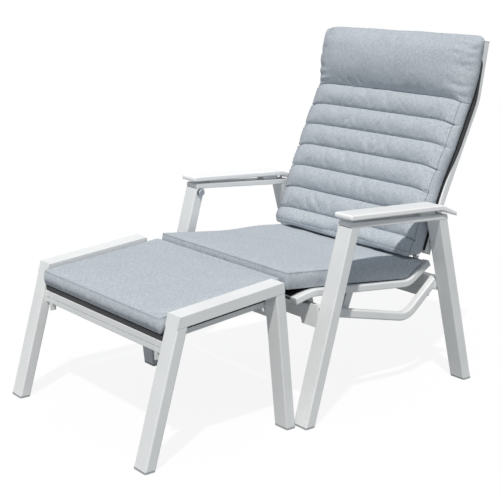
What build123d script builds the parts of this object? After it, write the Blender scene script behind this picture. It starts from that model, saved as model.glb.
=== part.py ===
"""Reclining garden armchair with a separate footstool.

Aluminium side frames carry two crossbars, two bent seat carrier tubes and the armrests. The back swings on
two studs in the rear legs and pulls the seat along through a hinge at its lower bar, while two swing links
hold up the front of the seat and a lockable gas strut under the seat holds the angle.

The sitter faces -Y, and left and right are the sitter's own, so left is +X. Lengths are millimetres.
Fore-and-aft places are counted rearwards from the front edge of the chair's front feet.
"""

import os
from math import atan, hypot, pi, sin, tan

from build123d import *

os.makedirs("parts", exist_ok=True)

# Chair side frames
chair_half_width = 361.5
leg_width = 52
leg_depth = 32
leg_corner = 4
leg_wall = 2
front_leg_slope = 0.2605
rear_leg_slope = -0.2998
rear_foot = 634
rail_front_height = 540
rail_slope = -0.0557
rail_thickness = 15
rail_corner = 5
edge_radius = 2
glide_height = 6
plug_height = 20
plug_clearance = 0.3

# Chair crossbars and seat carrier tubes
front_crossbar_y = 78
front_crossbar_depth = 25
front_crossbar_bottom = 266
front_crossbar_height = 44
rear_crossbar_y = 545
rear_crossbar_depth = 28
rear_crossbar_bottom = 281
rear_crossbar_height = 37
lower_bar_end_gap = 18
lower_bar_depth = 24
lower_bar_height = 32
crossbar_corner = 3
carrier_gap = 7.5
carrier_width = 22
carrier_depth = 25
carrier_corner = 5
carrier_wall = 1.5
carrier_front_height = 291
carrier_slope = -0.223
carrier_bend_y = 440
carrier_rear_height = 301
carrier_bend_radius = 70
bracket_plate = 3
bracket_reach = 28.5
bracket_foot_reach = 60.5
bracket_rise = 6
bracket_block_height = 12
bracket_block_depth = 25

# Armrests
armrest_side_overhang = 9.5
armrest_width = 66
armrest_thickness = 15
armrest_front_overhang = 13.7
armrest_rise = 22
armrest_slope = -0.0345
armrest_bend_inset = 27
armrest_tip_overhang = 32
armrest_tip_slope = -0.415
armrest_tip_thickness = 12
armrest_bend_radius = 60
armrest_nose = 6
armrest_edge = 4
armrest_stud_inset = 59.3
armrest_stud_radius = 6
spacer_inset = 39
spacer_length = 60
spacer_width = 30
armrest_bolt_inset = 12
armrest_bolt_radius = 4

# Release button on the right front leg
button_drop = 26
button_radius = 10
button_thickness = 4
button_travel = 5
button_stop_gap = 0.5
button_stem_radius = 5
stem_length = 26
bezel_radius = 13
bezel_thickness = 3
bezel_clearance = 0.1
leg_hole_clearance = 0.5
clip_radius = 7.5
clip_thickness = 1.5
clip_gap = 0.3

# Backrest
back_tube_gap = 7.5
back_tube_width = 22
back_tube_depth = 25
back_tube_corner = 5
back_tube_wall = 1.5
back_start = (509, 394.8)
back_lower_bend = (563.5, 551)
back_upper_bend = (684.5, 820.5)
back_end = (709.5, 987)
back_lower_bend_radius = 400
back_upper_bend_radius = 150
back_bar_size = 20
back_bar_inset = 2
sling_thickness = 2
soft_gap = 0.6
back_cushion_gap = 17.5
back_cushion_bulge = 9
back_boxing = 46
back_seam_crown = 8
back_channel_crown = 22
back_bottom_crown = 34
back_cushion_start = -16
first_seam = 31
channel_pitch = 68.5
channel_count = 6
headrest_length = 198
headrest_crown = 34
channel_steps = 4
headrest_steps = 6
corner_draw_in = 5

# Seat
seat_rail_gap = 19.5
seat_rail_width = 22
seat_rail_height = 20
seat_rail_corner = 4
seat_rail_wall = 1.5
seat_start = (18, 331)
seat_front_bend = (75, 345)
seat_rear_bend = (452, 311)
seat_end = (532, 359)
seat_front_bend_radius = 150
seat_rear_bend_radius = 60
seat_bar_inset = 0
seat_cushion_front = -8
seat_cushion_rear = 508
seat_cushion_gap = 30.5
seat_cushion_bulge = 9
seat_cushion_bottom = 366
seat_cushion_slope = -0.0915
seat_cushion_thickness = 45
seat_cushion_crown = 12
seat_cushion_bevel_y = 450
seat_cushion_bevel_slope = 0.62
end_rounding = 7
end_inset = 3
pad_spans = 5

# Hinges, swing links and gas strut
back_pivot = (521.6, 431.6)
seat_pivot = (519, 383)
link_upper_pivot = (239, 325)
link_lower_pivot = (217, 265.6)
strut_front_pivot = (128, 288)
strut_rear_pivot = (486, 304)
running_clearance = 0.05
back_stud_radius = 5
back_stud_flange = 11
back_stud_gap = 0.5
hinge_bolt_radius = 4
hinge_lug_radius = 10
hinge_lug_inset = 28
hinge_lug_thickness = 5
hinge_lug_gap = 1
bolt_head_radius = 7
bolt_head_height = 4.5
nut_gap = 0.3
link_width = 24
link_thickness = 5.5
link_gap = 0.5
link_stud_radius = 4
link_head_radius = 11
link_head_thickness = 3
link_collar_radius = 8
open_pivot_clearance = 3
strut_pin_radius = 4
strut_eye_radius = 11
strut_eye_width = 10
strut_open_clearance = 2.5
strut_plate = 3
strut_side_gap = 1
strut_body_radius = 11
strut_bore_radius = 9
strut_body_start = 18
strut_body_end = 232
strut_cap = 8
strut_rod_radius = 4
piston_start = 140
piston_length = 12

# Footstool
stool_half_width = 332
stool_leg_width = 50
stool_leg_depth = 30
stool_front_foot = -488
stool_front_slope = 0.27
stool_rear_foot = -40
stool_rear_slope = -0.131
stool_rail_front_height = 373
stool_rail_slope = 0.1046
stool_rail_thickness = 30
stool_front_bar_y = -400
stool_front_bar_depth = 25
stool_front_bar_bottom = 267
stool_front_bar_height = 34
stool_groove_height = 2
stool_groove_depth = 2
stool_groove_rise = 16
stool_rear_bar_y = -77.5
stool_rear_bar_depth = 25
stool_rear_bar_bottom = 306
stool_rear_bar_height = 35
stool_side_gap = 2
stool_side_bar_width = 22
stool_side_bar_height = 13
stool_sling_front = -398
stool_sling_rear = -34
stool_sling_height = 314
stool_cushion_front = -397
stool_cushion_rear = -29
stool_cushion_gap = 9
stool_cushion_bulge = 6
stool_cushion_thickness = 42
stool_cushion_crown = 10
stool_plate_inset = 32
stool_plate_thickness = 4
stool_plate_drop = 18
stool_bolt_inset = 11
stool_bolt_radius = 5
stool_bolt_height = 3

# Places that follow from the sizes
back_lean = hypot(back_end[0] - back_upper_bend[0], back_end[1] - back_upper_bend[1])
back_top_rear = back_end[0] + back_tube_depth / 2 * (back_end[1] - back_upper_bend[1]) / back_lean
datum_y = -(back_top_rear + stool_front_foot) / 2
leg_inner_x = chair_half_width - leg_width
leg_x = chair_half_width - leg_width / 2
carrier_x = leg_inner_x - carrier_gap - carrier_width / 2
back_tube_x = leg_inner_x - back_tube_gap - back_tube_width / 2
seat_rail_x = leg_inner_x - seat_rail_gap - seat_rail_width / 2
armrest_inner_x = chair_half_width + armrest_side_overhang - armrest_width
back_cushion_half_width = leg_inner_x - back_cushion_gap
seat_cushion_half_width = leg_inner_x - seat_cushion_gap
stool_inner_x = stool_half_width - stool_leg_width
stool_leg_x = stool_half_width - stool_leg_width / 2
stool_side_bar_inner = stool_inner_x - stool_side_gap - stool_side_bar_width
stool_cushion_half_width = stool_inner_x - stool_cushion_gap
sides = (("left", 1), ("right", -1))


def side_plane(x):
    """Upright fore-and-aft plane at x: u runs rearwards from the chair's front feet, v runs upwards."""
    return Plane(origin=(x, datum_y, 0), x_dir=(0, 1, 0), z_dir=(1, 0, 0))


def cut_plane(y, z, slope):
    """Plane across the whole width through (y, z) that rises rearwards by slope; its normal points up."""
    return Plane(origin=(0, datum_y + y, z), x_dir=(1, 0, 0), z_dir=(0, -slope, 1))


def meet(foot, slope, y, z, rise):
    """Where an edge that leaves the floor at foot meets the line through (y, z) that rises by rise."""
    height = (z + rise * (foot - y)) / (1 - rise * slope)
    return (foot + slope * height, height)


def mirrored_x(sign, inner_x, width):
    """Lowest x of a piece that spans inner_x to inner_x + width on the given side."""
    return inner_x if sign > 0 else -inner_x - width


def box_tube(width, depth, corner, wall):
    """Profile of a rounded rectangular tube."""
    RectangleRounded(width, depth, corner)
    RectangleRounded(width - 2 * wall, depth - 2 * wall, corner - wall, mode=Mode.SUBTRACT)


def save(piece, name):
    """Label a finished piece and write it as its own STEP file."""
    piece.label = name
    export_step(piece, f"parts/{name}.step")


def leg_plane(x, foot, slope, depth):
    """Plane on the floor, square to a leaning leg whose front edge starts at foot."""
    centre = foot + depth * hypot(1, slope) / 2
    return Plane(origin=(x, datum_y + centre, 0), x_dir=(1, 0, 0), z_dir=(0, slope, 1))


def make_leg(x, foot, slope, width, depth, underside):
    """Leaning box tube from its foot plug up to the rail's underside."""
    with BuildPart() as leg:
        with BuildSketch(leg_plane(x, foot, slope, depth).offset(-2 * depth)):
            box_tube(width, depth, leg_corner, leg_wall)
        extrude(amount=underside.origin.Z + 4 * depth)
        split(bisect_by=Plane.XY.offset(glide_height), keep=Keep.TOP)
        split(bisect_by=underside, keep=Keep.BOTTOM)
    return leg.part


def make_top_rail(x, width, thickness, front, rear, line, depth):
    """Flat box tube over both legs; its bore opens into theirs.

    front and rear are (foot, slope) of the legs, and line is (y, z, rise) of the rail's top face.
    """
    y, z, rise = line
    drop = thickness * hypot(1, rise)
    rear_edge = rear[0] + depth * hypot(1, rear[1])
    corners = [
        meet(front[0], front[1], y, z - drop, rise),
        meet(front[0], front[1], y, z, rise),
        meet(rear_edge, rear[1], y, z, rise),
        meet(rear_edge, rear[1], y, z - drop, rise),
    ]
    with BuildPart() as rail:
        with BuildSketch(side_plane(x - width / 2)):
            Polygon(*corners, align=None)
            fillet(vertices().group_by(Axis.Y)[-1] + vertices().group_by(Axis.Y)[-2], rail_corner)
        extrude(amount=width)
        outline = faces().filter_by(Axis.X).edges() - faces().sort_by(Axis.Z)[0].edges()
        fillet(outline, edge_radius)
        with BuildSketch(side_plane(x - width / 2 + leg_wall)):
            Polygon(*corners, align=None)
            offset(amount=-leg_wall, kind=Kind.INTERSECTION, mode=Mode.REPLACE)
        extrude(amount=width - 2 * leg_wall, mode=Mode.SUBTRACT)
        for foot, slope in (front, rear):
            with BuildSketch(leg_plane(x, foot, slope, depth)):
                RectangleRounded(width - 2 * leg_wall, depth - 2 * leg_wall, leg_corner - leg_wall)
            middle = meet(foot, slope, y, z - drop / 2, rise)[1]
            extrude(amount=middle * hypot(1, slope), mode=Mode.SUBTRACT)
    return rail.part


def add_glide(x, foot, slope, width, depth):
    """Foot plate under a leg with the plug that sits in its bore."""
    footprint = depth * hypot(1, slope)
    bore = (depth - 2 * leg_wall) * hypot(1, slope) - 2 * plug_clearance
    with BuildSketch(Plane(origin=(x, datum_y + foot + footprint / 2, 0))) as plate:
        RectangleRounded(width, footprint, leg_corner)
    extrude(plate.sketch, amount=glide_height)
    rise = slope * glide_height
    with BuildSketch(Plane(origin=(x, datum_y + foot + footprint / 2 + rise, glide_height))) as plug:
        Rectangle(width - 2 * leg_wall - 2 * plug_clearance - leg_corner, bore - leg_corner / 2)
    extrude(plug.sketch, amount=plug_height, dir=(0, slope, 1))


def make_bar(y, depth, bottom, height, half_length, wall=0):
    """Level crossbar, hollow where a wall is given."""
    with BuildPart(Plane(origin=(0, datum_y + y + depth / 2, bottom + height / 2))) as bar:
        Box(2 * half_length, depth, height)
        fillet(bar.edges().filter_by(Axis.X), crossbar_corner)
        if wall:
            Box(2 * half_length, depth - 2 * wall, height - 2 * wall, mode=Mode.SUBTRACT)
    return bar.part


def make_route(x, points, radii):
    """Centreline of a bent tube in the fore-and-aft plane at x."""
    with BuildLine(side_plane(x)) as route:
        FilletPolyline(*points, radius=radii)
    return route.wire()


def route_plane(route, distance, x=0):
    """Plane square to a route: x to the sitter's left, y away from the sitter."""
    overrun = min(distance, 0) + max(distance - route.length, 0)
    spot = route.position_at(distance - overrun, position_mode=PositionMode.LENGTH)
    along = route.tangent_at(distance - overrun, position_mode=PositionMode.LENGTH)
    spot = spot + along * overrun
    return Plane(origin=(x, spot.Y, spot.Z), x_dir=(1, 0, 0), z_dir=along)


def make_tube(route, x, width, depth, corner, wall):
    """Bent box tube along a route."""
    with BuildPart() as tube:
        with BuildSketch(route_plane(route, 0, x)):
            box_tube(width, depth, corner, wall)
        sweep(path=route)
    return tube.part


def make_sling(route, half_width, away, start, end):
    """Stretched woven panel beside a route, between two distances along it."""
    with BuildPart() as sling:
        with BuildSketch(route_plane(route, 0)):
            with Locations((0, away)):
                Rectangle(2 * half_width, sling_thickness)
        sweep(path=route)
        split(bisect_by=route_plane(route, start), keep=Keep.TOP)
        split(bisect_by=route_plane(route, end), keep=Keep.BOTTOM)
    return sling.part


def make_route_bar(route, distance, half_length, size, depth):
    """Crossbar square to a route, starting at a distance along it."""
    with BuildPart(route_plane(route, distance + size / 2)) as bar:
        Box(2 * half_length, depth, size)
        fillet(bar.edges().filter_by(Axis.X), crossbar_corner)
    return bar.part


def pad_outline(half_width, bulge, near, far, crown):
    """Cross-section of a sewn pad: flat from the far side, bulging boxing, crowned on the sitter's side."""
    middle = (near + far) / 2
    with BuildLine() as outline:
        base = Line((-half_width, far), (half_width, far))
        left = ThreePointArc(base @ 1, (half_width + bulge, middle), (half_width, near))
        face = ThreePointArc(left @ 1, (0, near + crown), (-half_width, near))
        ThreePointArc(face @ 1, (-half_width - bulge, middle), base @ 0)
    make_face(outline.edges())


def make_seat_pad(front, rear, half_width, bulge, bottom, slope, thickness, crown, bevel=None):
    """Boxed pad lying on a sling: crowned along and across, sides drawn in between the corners.

    bevel is the place where the rear part of the underside starts to rise, and its slope.
    """
    stations = [front, front + end_rounding]
    span = rear - front
    stations += [front + span * step / pad_spans for step in range(1, pad_spans)]
    if bevel:
        stations += [bevel[0], rear - end_rounding, rear]
    else:
        stations += [rear - end_rounding, rear]
    with BuildPart() as pad:
        for y in sorted(stations):
            share = (y - front) / span
            swell = 4 * share * (1 - share)
            low = bottom + slope * (y - front)
            high = low + thickness
            if bevel:
                low += max(y - bevel[0], 0) * bevel[1]
            rounding = end_rounding if y in (front, rear) else 0
            rounding = min(rounding, (high - low) / 3)
            width = half_width - corner_draw_in * swell - (end_inset if rounding else 0)
            side = min(bulge, (high - low) / 4)
            with BuildSketch(Plane(origin=(0, datum_y + y, 0), x_dir=(1, 0, 0), z_dir=(0, -1, 0))):
                pad_outline(width, side, high - rounding, low + rounding / 2, 1 + crown * swell)
        loft(ruled=True)
    return pad.part


def make_back_pad(route, stations, half_width, bulge):
    """Upright pad in front of the back tubes; stations are (distance, thickness, crown, draw-in)."""
    rear_face = -back_tube_depth / 2 - soft_gap
    with BuildPart() as pad:
        for distance, thickness, crown, draw_in in stations:
            with BuildSketch(route_plane(route, distance)):
                pad_outline(half_width - draw_in, bulge, rear_face - thickness, rear_face, -crown)
        loft(ruled=True)
    return pad.part


def make_plate(x, thickness, build_outline):
    """Upright plate in the fore-and-aft plane from x to x + thickness."""
    with BuildPart() as plate:
        with BuildSketch(side_plane(x)):
            build_outline()
        extrude(amount=thickness)
    return plate.part


def add_rod(x, spot, radius, length):
    """Round piece along X from x, centred on a (y, z) spot."""
    with BuildSketch(side_plane(x)) as disc:
        with Locations(spot):
            Circle(radius)
    extrude(disc.sketch, amount=length)


def cut_hole(x, spot, radius, length):
    """Round hole along X from x, centred on a (y, z) spot."""
    with BuildSketch(side_plane(x)) as disc:
        with Locations(spot):
            Circle(radius)
    extrude(disc.sketch, amount=length, mode=Mode.SUBTRACT)


# Side frames of the chair
front_leg = (0, front_leg_slope)
rear_leg = (rear_foot, rear_leg_slope)
rail_start = front_leg_slope * rail_front_height
rail_line = (rail_start, rail_front_height, rail_slope)
rail_drop = rail_thickness * hypot(1, rail_slope)
rail_underside = cut_plane(rail_start, rail_front_height - rail_drop, rail_slope)
rail_top = cut_plane(rail_start, rail_front_height, rail_slope)
rear_leg_edge = rear_foot + leg_depth * hypot(1, rear_leg_slope)
rail_end = meet(rear_leg_edge, rear_leg_slope, *rail_line)[0]
button_height = rail_front_height - button_drop

for side, sign in sides:
    with BuildPart() as chair_front_leg:
        add(make_leg(sign * leg_x, *front_leg, leg_width, leg_depth, rail_underside))
        if side == "right":
            button_y = front_leg_slope * button_height + leg_depth * hypot(1, front_leg_slope) / 2
            button_spot = (button_y, button_height)
            hole_radius = button_stem_radius + leg_hole_clearance
            cut_hole(-leg_inner_x - 2 * leg_wall, button_spot, hole_radius, 3 * leg_wall)
    save(chair_front_leg.part, f"front_leg_{side}")
    save(make_leg(sign * leg_x, *rear_leg, leg_width, leg_depth, rail_underside), f"rear_leg_{side}")
    rail = make_top_rail(
        sign * leg_x, leg_width, rail_thickness, front_leg, rear_leg, rail_line, leg_depth
    )
    save(rail, f"top_rail_{side}")

with BuildPart() as chair_foot_glides:
    for side, sign in sides:
        for foot, slope in (front_leg, rear_leg):
            add_glide(sign * leg_x, foot, slope, leg_width, leg_depth)
save(chair_foot_glides.part, "chair_foot_glides")

# Crossbars between the side frames
front_crossbar = make_bar(
    front_crossbar_y,
    front_crossbar_depth,
    front_crossbar_bottom,
    front_crossbar_height,
    leg_inner_x,
    leg_wall,
)
save(front_crossbar, "front_crossbar")
rear_crossbar = make_bar(
    rear_crossbar_y,
    rear_crossbar_depth,
    rear_crossbar_bottom,
    rear_crossbar_height,
    leg_inner_x,
    leg_wall,
)
save(rear_crossbar, "rear_crossbar")
rear_lower_bar = make_bar(
    rear_crossbar_y + (rear_crossbar_depth - lower_bar_depth) / 2,
    lower_bar_depth,
    rear_crossbar_bottom - lower_bar_height,
    lower_bar_height,
    carrier_x - carrier_width / 2 - lower_bar_end_gap,
)
save(rear_lower_bar, "rear_lower_bar")

# Bent seat carrier tubes from the front crossbar down, back and up to the rear crossbar
carrier_front = front_crossbar_y + front_crossbar_depth
carrier_bend = (carrier_bend_y, carrier_front_height + carrier_slope * (carrier_bend_y - carrier_front))
carrier_rise = (carrier_rear_height - carrier_bend[1]) / (rear_crossbar_y - carrier_bend_y)
carrier_points = [
    (carrier_front - carrier_depth, carrier_front_height - carrier_slope * carrier_depth),
    carrier_bend,
    (rear_crossbar_y + carrier_depth, carrier_rear_height + carrier_rise * carrier_depth),
]
for side, sign in sides:
    route = make_route(sign * carrier_x, carrier_points, carrier_bend_radius)
    with BuildPart() as seat_carrier:
        add(make_tube(route, sign * carrier_x, carrier_width, carrier_depth, carrier_corner, carrier_wall))
        split(bisect_by=Plane.XZ.offset(-datum_y - carrier_front), keep=Keep.BOTTOM)
        split(bisect_by=Plane.XZ.offset(-datum_y - rear_crossbar_y), keep=Keep.TOP)
    save(seat_carrier.part, f"seat_carrier_{side}")

# Corner brackets: a plate on the crossbar's front face and a foot under it, against each front leg
bracket_top = front_crossbar_bottom + front_crossbar_height + bracket_rise
with BuildPart() as corner_brackets:
    for side, sign in sides:
        front_face = Plane(
            origin=(0, datum_y + front_crossbar_y, 0), x_dir=(1, 0, 0), z_dir=(0, -1, 0)
        )
        with BuildSketch(front_face):
            Polygon(
                (sign * leg_inner_x, bracket_top),
                (sign * (leg_inner_x - bracket_reach), bracket_top),
                (sign * (leg_inner_x - bracket_foot_reach), front_crossbar_bottom),
                (sign * leg_inner_x, front_crossbar_bottom),
                align=None,
            )
        extrude(amount=bracket_plate)
        block_y = front_crossbar_y - bracket_plate + bracket_block_depth / 2
        block_x = leg_inner_x - bracket_foot_reach / 2
        block_z = front_crossbar_bottom - bracket_block_height / 2
        with Locations((sign * block_x, datum_y + block_y, block_z)):
            Box(bracket_foot_reach, bracket_block_depth, bracket_block_height)
save(corner_brackets.part, "corner_brackets")

# Armrests with their studs, spacers and bolts
armrest_front = rail_start - armrest_front_overhang
armrest_front_height = rail_front_height + armrest_rise
armrest_bend_y = rail_end - armrest_bend_inset
armrest_tip_y = rail_end + armrest_tip_overhang
armrest_bend = (armrest_bend_y, armrest_front_height + armrest_slope * (armrest_bend_y - armrest_front))
armrest_tip = (armrest_tip_y, armrest_bend[1] + armrest_tip_slope * (armrest_tip_y - armrest_bend_y))
armrest_under_height = armrest_front_height - armrest_thickness
armrest_turn = atan(armrest_tip_slope) - atan(armrest_slope)
under_bend_y = armrest_bend_y + armrest_thickness * tan(armrest_turn / 2)
armrest_under_bend = (under_bend_y, armrest_under_height + armrest_slope * (under_bend_y - armrest_front))
armrest_under_tip = (armrest_tip_y, armrest_tip[1] - armrest_tip_thickness)
under_tip_slope = (armrest_under_tip[1] - armrest_under_bend[1]) / (armrest_tip_y - under_bend_y)
armrest_under = cut_plane(armrest_front, armrest_under_height, armrest_slope)
armrest_tip_under = cut_plane(*armrest_under_bend, under_tip_slope)


def armrest_outline():
    """Side view of an armrest board with its turned-down rear end."""
    with BuildLine() as outline:
        upper = FilletPolyline(
            (armrest_front, armrest_front_height), armrest_bend, armrest_tip, radius=armrest_bend_radius
        )
        lower = FilletPolyline(
            (armrest_front, armrest_under_height),
            armrest_under_bend,
            armrest_under_tip,
            radius=armrest_bend_radius - armrest_thickness,
        )
        Line(upper @ 0, lower @ 0)
        Line(upper @ 1, lower @ 1)
    make_face(outline.edges())
    fillet(vertices().group_by(Axis.X)[0], armrest_nose)


for side, sign in sides:
    with BuildPart() as armrest:
        add(make_plate(mirrored_x(sign, armrest_inner_x, armrest_width), armrest_width, armrest_outline))
        fillet(faces().filter_by(Axis.X).edges(), armrest_edge)
    save(armrest.part, f"armrest_{side}")

with BuildPart() as armrest_studs:
    stud_y = rail_start + armrest_stud_inset
    for side, sign in sides:
        with BuildSketch(Plane(origin=(sign * leg_x, datum_y + stud_y, rail_front_height / 2))):
            Circle(armrest_stud_radius)
        extrude(amount=rail_front_height)
    split(bisect_by=rail_top, keep=Keep.TOP)
    split(bisect_by=armrest_under, keep=Keep.BOTTOM)
save(armrest_studs.part, "armrest_studs")

with BuildPart() as armrest_spacers:
    spacer_y = rail_end - spacer_inset - spacer_length / 2
    for side, sign in sides:
        with BuildSketch(Plane(origin=(sign * leg_x, datum_y + spacer_y, rail_front_height / 2))):
            Rectangle(spacer_width, spacer_length)
        extrude(amount=rail_front_height)
    split(bisect_by=rail_top, keep=Keep.TOP)
    split(bisect_by=armrest_under, keep=Keep.BOTTOM)
save(armrest_spacers.part, "armrest_spacers")

with BuildPart() as armrest_bolts:
    bolt_y = rail_end - armrest_bolt_inset
    for side, sign in sides:
        with BuildSketch(Plane(origin=(sign * leg_x, datum_y + bolt_y, rail_front_height / 2))):
            Circle(armrest_bolt_radius)
        extrude(amount=rail_front_height)
    split(bisect_by=rail_top, keep=Keep.TOP)
    split(bisect_by=armrest_tip_under, keep=Keep.BOTTOM)
save(armrest_bolts.part, "armrest_bolts")

# Release button: a pressed-in knob on a stem, guided by a bezel on the leg's inner face
bezel_hole = button_stem_radius + bezel_clearance
with BuildPart() as button_bezel:
    add_rod(-leg_inner_x, button_spot, bezel_radius, bezel_thickness)
    fillet(faces().sort_by(Axis.X)[-1].edges(), bezel_thickness / 3)
    cut_hole(-leg_inner_x, button_spot, bezel_hole, bezel_thickness)
save(button_bezel.part, "button_bezel")

knob_x = -leg_inner_x + bezel_thickness + button_travel + button_stop_gap
with BuildPart() as release_button:
    add_rod(knob_x, button_spot, button_radius, button_thickness)
    fillet(faces().sort_by(Axis.X)[-1].edges(), button_thickness / 3)
    add_rod(knob_x - stem_length, button_spot, button_stem_radius, stem_length)
    clip_x = -leg_inner_x - leg_wall - clip_gap - clip_thickness
    add_rod(clip_x, button_spot, clip_radius, clip_thickness)
save(release_button.part, "release_button")

# Backrest frame
back_points = [back_start, back_lower_bend, back_upper_bend, back_end]
back_radii = [back_lower_bend_radius, back_upper_bend_radius]
back_route = make_route(0, back_points, back_radii)
back_inner_x = back_tube_x - back_tube_width / 2
for side, sign in sides:
    x = sign * back_tube_x
    route = make_route(x, back_points, back_radii)
    with BuildPart() as back_tube:
        add(make_tube(route, x, back_tube_width, back_tube_depth, back_tube_corner, back_tube_wall))
        cut_hole(x - back_tube_width, back_pivot, back_stud_radius + running_clearance, 2 * back_tube_width)
    save(back_tube.part, f"back_side_tube_{side}")

top_bar_start = back_route.length - back_bar_size - back_bar_inset
back_top_bar = make_route_bar(back_route, top_bar_start, back_inner_x, back_bar_size, back_bar_size)
save(back_top_bar, "back_top_bar")
back_lower_bar = make_route_bar(back_route, back_bar_inset, back_inner_x, back_bar_size, back_bar_size)
save(back_lower_bar, "back_lower_bar")

back_sling_away = -(back_tube_depth - sling_thickness) / 2
back_sling = make_sling(
    back_route, back_inner_x, back_sling_away, back_bar_inset, back_route.length - back_bar_inset
)
save(back_sling, "back_sling")

# Back cushion: cross channels sewn into the front, with a fuller first channel at the foot
cushion_points = [back_start, back_lower_bend, back_upper_bend]
headrest_reach = headrest_length / back_lean
cushion_points += [
    (
        back_upper_bend[0] + (back_end[0] - back_upper_bend[0]) * (1 + headrest_reach),
        back_upper_bend[1] + (back_end[1] - back_upper_bend[1]) * (1 + headrest_reach),
    )
]
cushion_route = make_route(0, cushion_points, back_radii)
bottom_stations = [
    (back_cushion_start, back_boxing - end_rounding, back_seam_crown, corner_draw_in),
    (back_cushion_start + end_rounding, back_boxing, back_bottom_crown, 0),
    ((back_cushion_start + end_rounding + first_seam) / 2, back_boxing, back_bottom_crown, 0),
]
channel_stations = []
for channel in range(channel_count):
    for step in range(channel_steps):
        share = step / channel_steps
        swell = back_seam_crown + (back_channel_crown - back_seam_crown) * sin(pi * share) ** 0.5
        distance = first_seam + (channel + share) * channel_pitch
        channel_stations.append((distance, back_boxing, swell, corner_draw_in * sin(pi * share)))
headrest_seam = first_seam + channel_count * channel_pitch
last_station = (headrest_seam - soft_gap, back_boxing, back_seam_crown, corner_draw_in / 2)
back_cushion = make_back_pad(
    cushion_route,
    bottom_stations + channel_stations + [last_station],
    back_cushion_half_width,
    back_cushion_bulge,
)
save(back_cushion, "back_cushion")

headrest_stations = []
for step in range(headrest_steps + 1):
    share = step / headrest_steps
    swell = back_seam_crown + (headrest_crown - back_seam_crown) * sin(pi * share) ** 0.5
    thickness = back_boxing - (end_rounding if share == 1 else 0)
    draw_in = corner_draw_in * share
    headrest_stations.append((headrest_seam + share * headrest_length, thickness, swell, draw_in))
headrest_cushion = make_back_pad(
    cushion_route, headrest_stations, back_cushion_half_width, back_cushion_bulge
)
save(headrest_cushion, "headrest_cushion")

# Seat frame
seat_points = [seat_start, seat_front_bend, seat_rear_bend, seat_end]
seat_radii = [seat_front_bend_radius, seat_rear_bend_radius]
seat_route = make_route(0, seat_points, seat_radii)
seat_inner_x = seat_rail_x - seat_rail_width / 2
for side, sign in sides:
    x = sign * seat_rail_x
    route = make_route(x, seat_points, seat_radii)
    rail = make_tube(route, x, seat_rail_width, seat_rail_height, seat_rail_corner, seat_rail_wall)
    save(rail, f"seat_side_rail_{side}")

seat_front_bar = make_route_bar(seat_route, seat_bar_inset, seat_inner_x, seat_rail_height, seat_rail_height)
save(seat_front_bar, "seat_front_bar")
rear_bar_start = seat_route.length - seat_rail_height - seat_bar_inset
seat_rear_bar = make_route_bar(seat_route, rear_bar_start, seat_inner_x, seat_rail_height, seat_rail_height)
save(seat_rear_bar, "seat_rear_bar")

seat_sling_away = -(seat_rail_height - sling_thickness) / 2
seat_sling_start = seat_bar_inset + seat_rail_height
seat_sling = make_sling(seat_route, seat_inner_x, seat_sling_away, seat_sling_start, rear_bar_start)
save(seat_sling, "seat_sling")

seat_cushion = make_seat_pad(
    seat_cushion_front,
    seat_cushion_rear,
    seat_cushion_half_width,
    seat_cushion_bulge,
    seat_cushion_bottom,
    seat_cushion_slope,
    seat_cushion_thickness,
    seat_cushion_crown,
    (seat_cushion_bevel_y, seat_cushion_bevel_slope - seat_cushion_slope),
)
save(seat_cushion, "seat_cushion")

# Hinge between the back's lower bar and the seat's rear bar: lugs side by side on one bolt
hinge_lug_x = seat_inner_x - hinge_lug_inset
seat_lug_x = hinge_lug_x + hinge_lug_thickness + hinge_lug_gap
bar_under = route_plane(back_route, back_bar_inset)
rear_bar_plane = route_plane(seat_route, rear_bar_start + seat_rail_height / 2)
bar_over = Plane(
    origin=rear_bar_plane.origin, x_dir=(1, 0, 0), z_dir=-rear_bar_plane.y_dir
).offset(seat_rail_height / 2)
rear_bar_spot = (bar_over.origin.Y - datum_y, bar_over.origin.Z)
lower_bar_spot = (bar_under.origin.Y - datum_y, bar_under.origin.Z)


def lug_outline(spot):
    """Rounded lug from the seat pivot to the bar that carries it."""
    with Locations(seat_pivot):
        Circle(hinge_lug_radius)
    with Locations(spot):
        Circle(hinge_lug_radius)
    make_hull()


with BuildPart() as back_hinge_lugs:
    for side, sign in sides:
        lug_x = mirrored_x(sign, hinge_lug_x, hinge_lug_thickness)
        add(make_plate(lug_x, hinge_lug_thickness, lambda: lug_outline(lower_bar_spot)))
    split(bisect_by=bar_under, keep=Keep.BOTTOM)
    cut_hole(-chair_half_width, seat_pivot, hinge_bolt_radius + running_clearance, 2 * chair_half_width)
save(back_hinge_lugs.part, "back_hinge_lugs")

with BuildPart() as seat_hinge_lugs:
    for side, sign in sides:
        lug_x = mirrored_x(sign, seat_lug_x, hinge_lug_thickness)
        add(make_plate(lug_x, hinge_lug_thickness, lambda: lug_outline(rear_bar_spot)))
    split(bisect_by=bar_over, keep=Keep.TOP)
    cut_hole(-chair_half_width, seat_pivot, hinge_bolt_radius + running_clearance, 2 * chair_half_width)
save(seat_hinge_lugs.part, "seat_hinge_lugs")

nut_x = hinge_lug_x - nut_gap - bolt_head_height
head_x = seat_lug_x + hinge_lug_thickness
with BuildPart() as seat_hinge_bolts:
    for side, sign in sides:
        add_rod(mirrored_x(sign, nut_x, head_x - nut_x), seat_pivot, hinge_bolt_radius, head_x - nut_x)
        add_rod(mirrored_x(sign, nut_x, bolt_head_height), seat_pivot, bolt_head_radius, bolt_head_height)
        add_rod(mirrored_x(sign, head_x, bolt_head_height), seat_pivot, bolt_head_radius, bolt_head_height)
save(seat_hinge_bolts.part, "seat_hinge_bolts")

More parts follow.
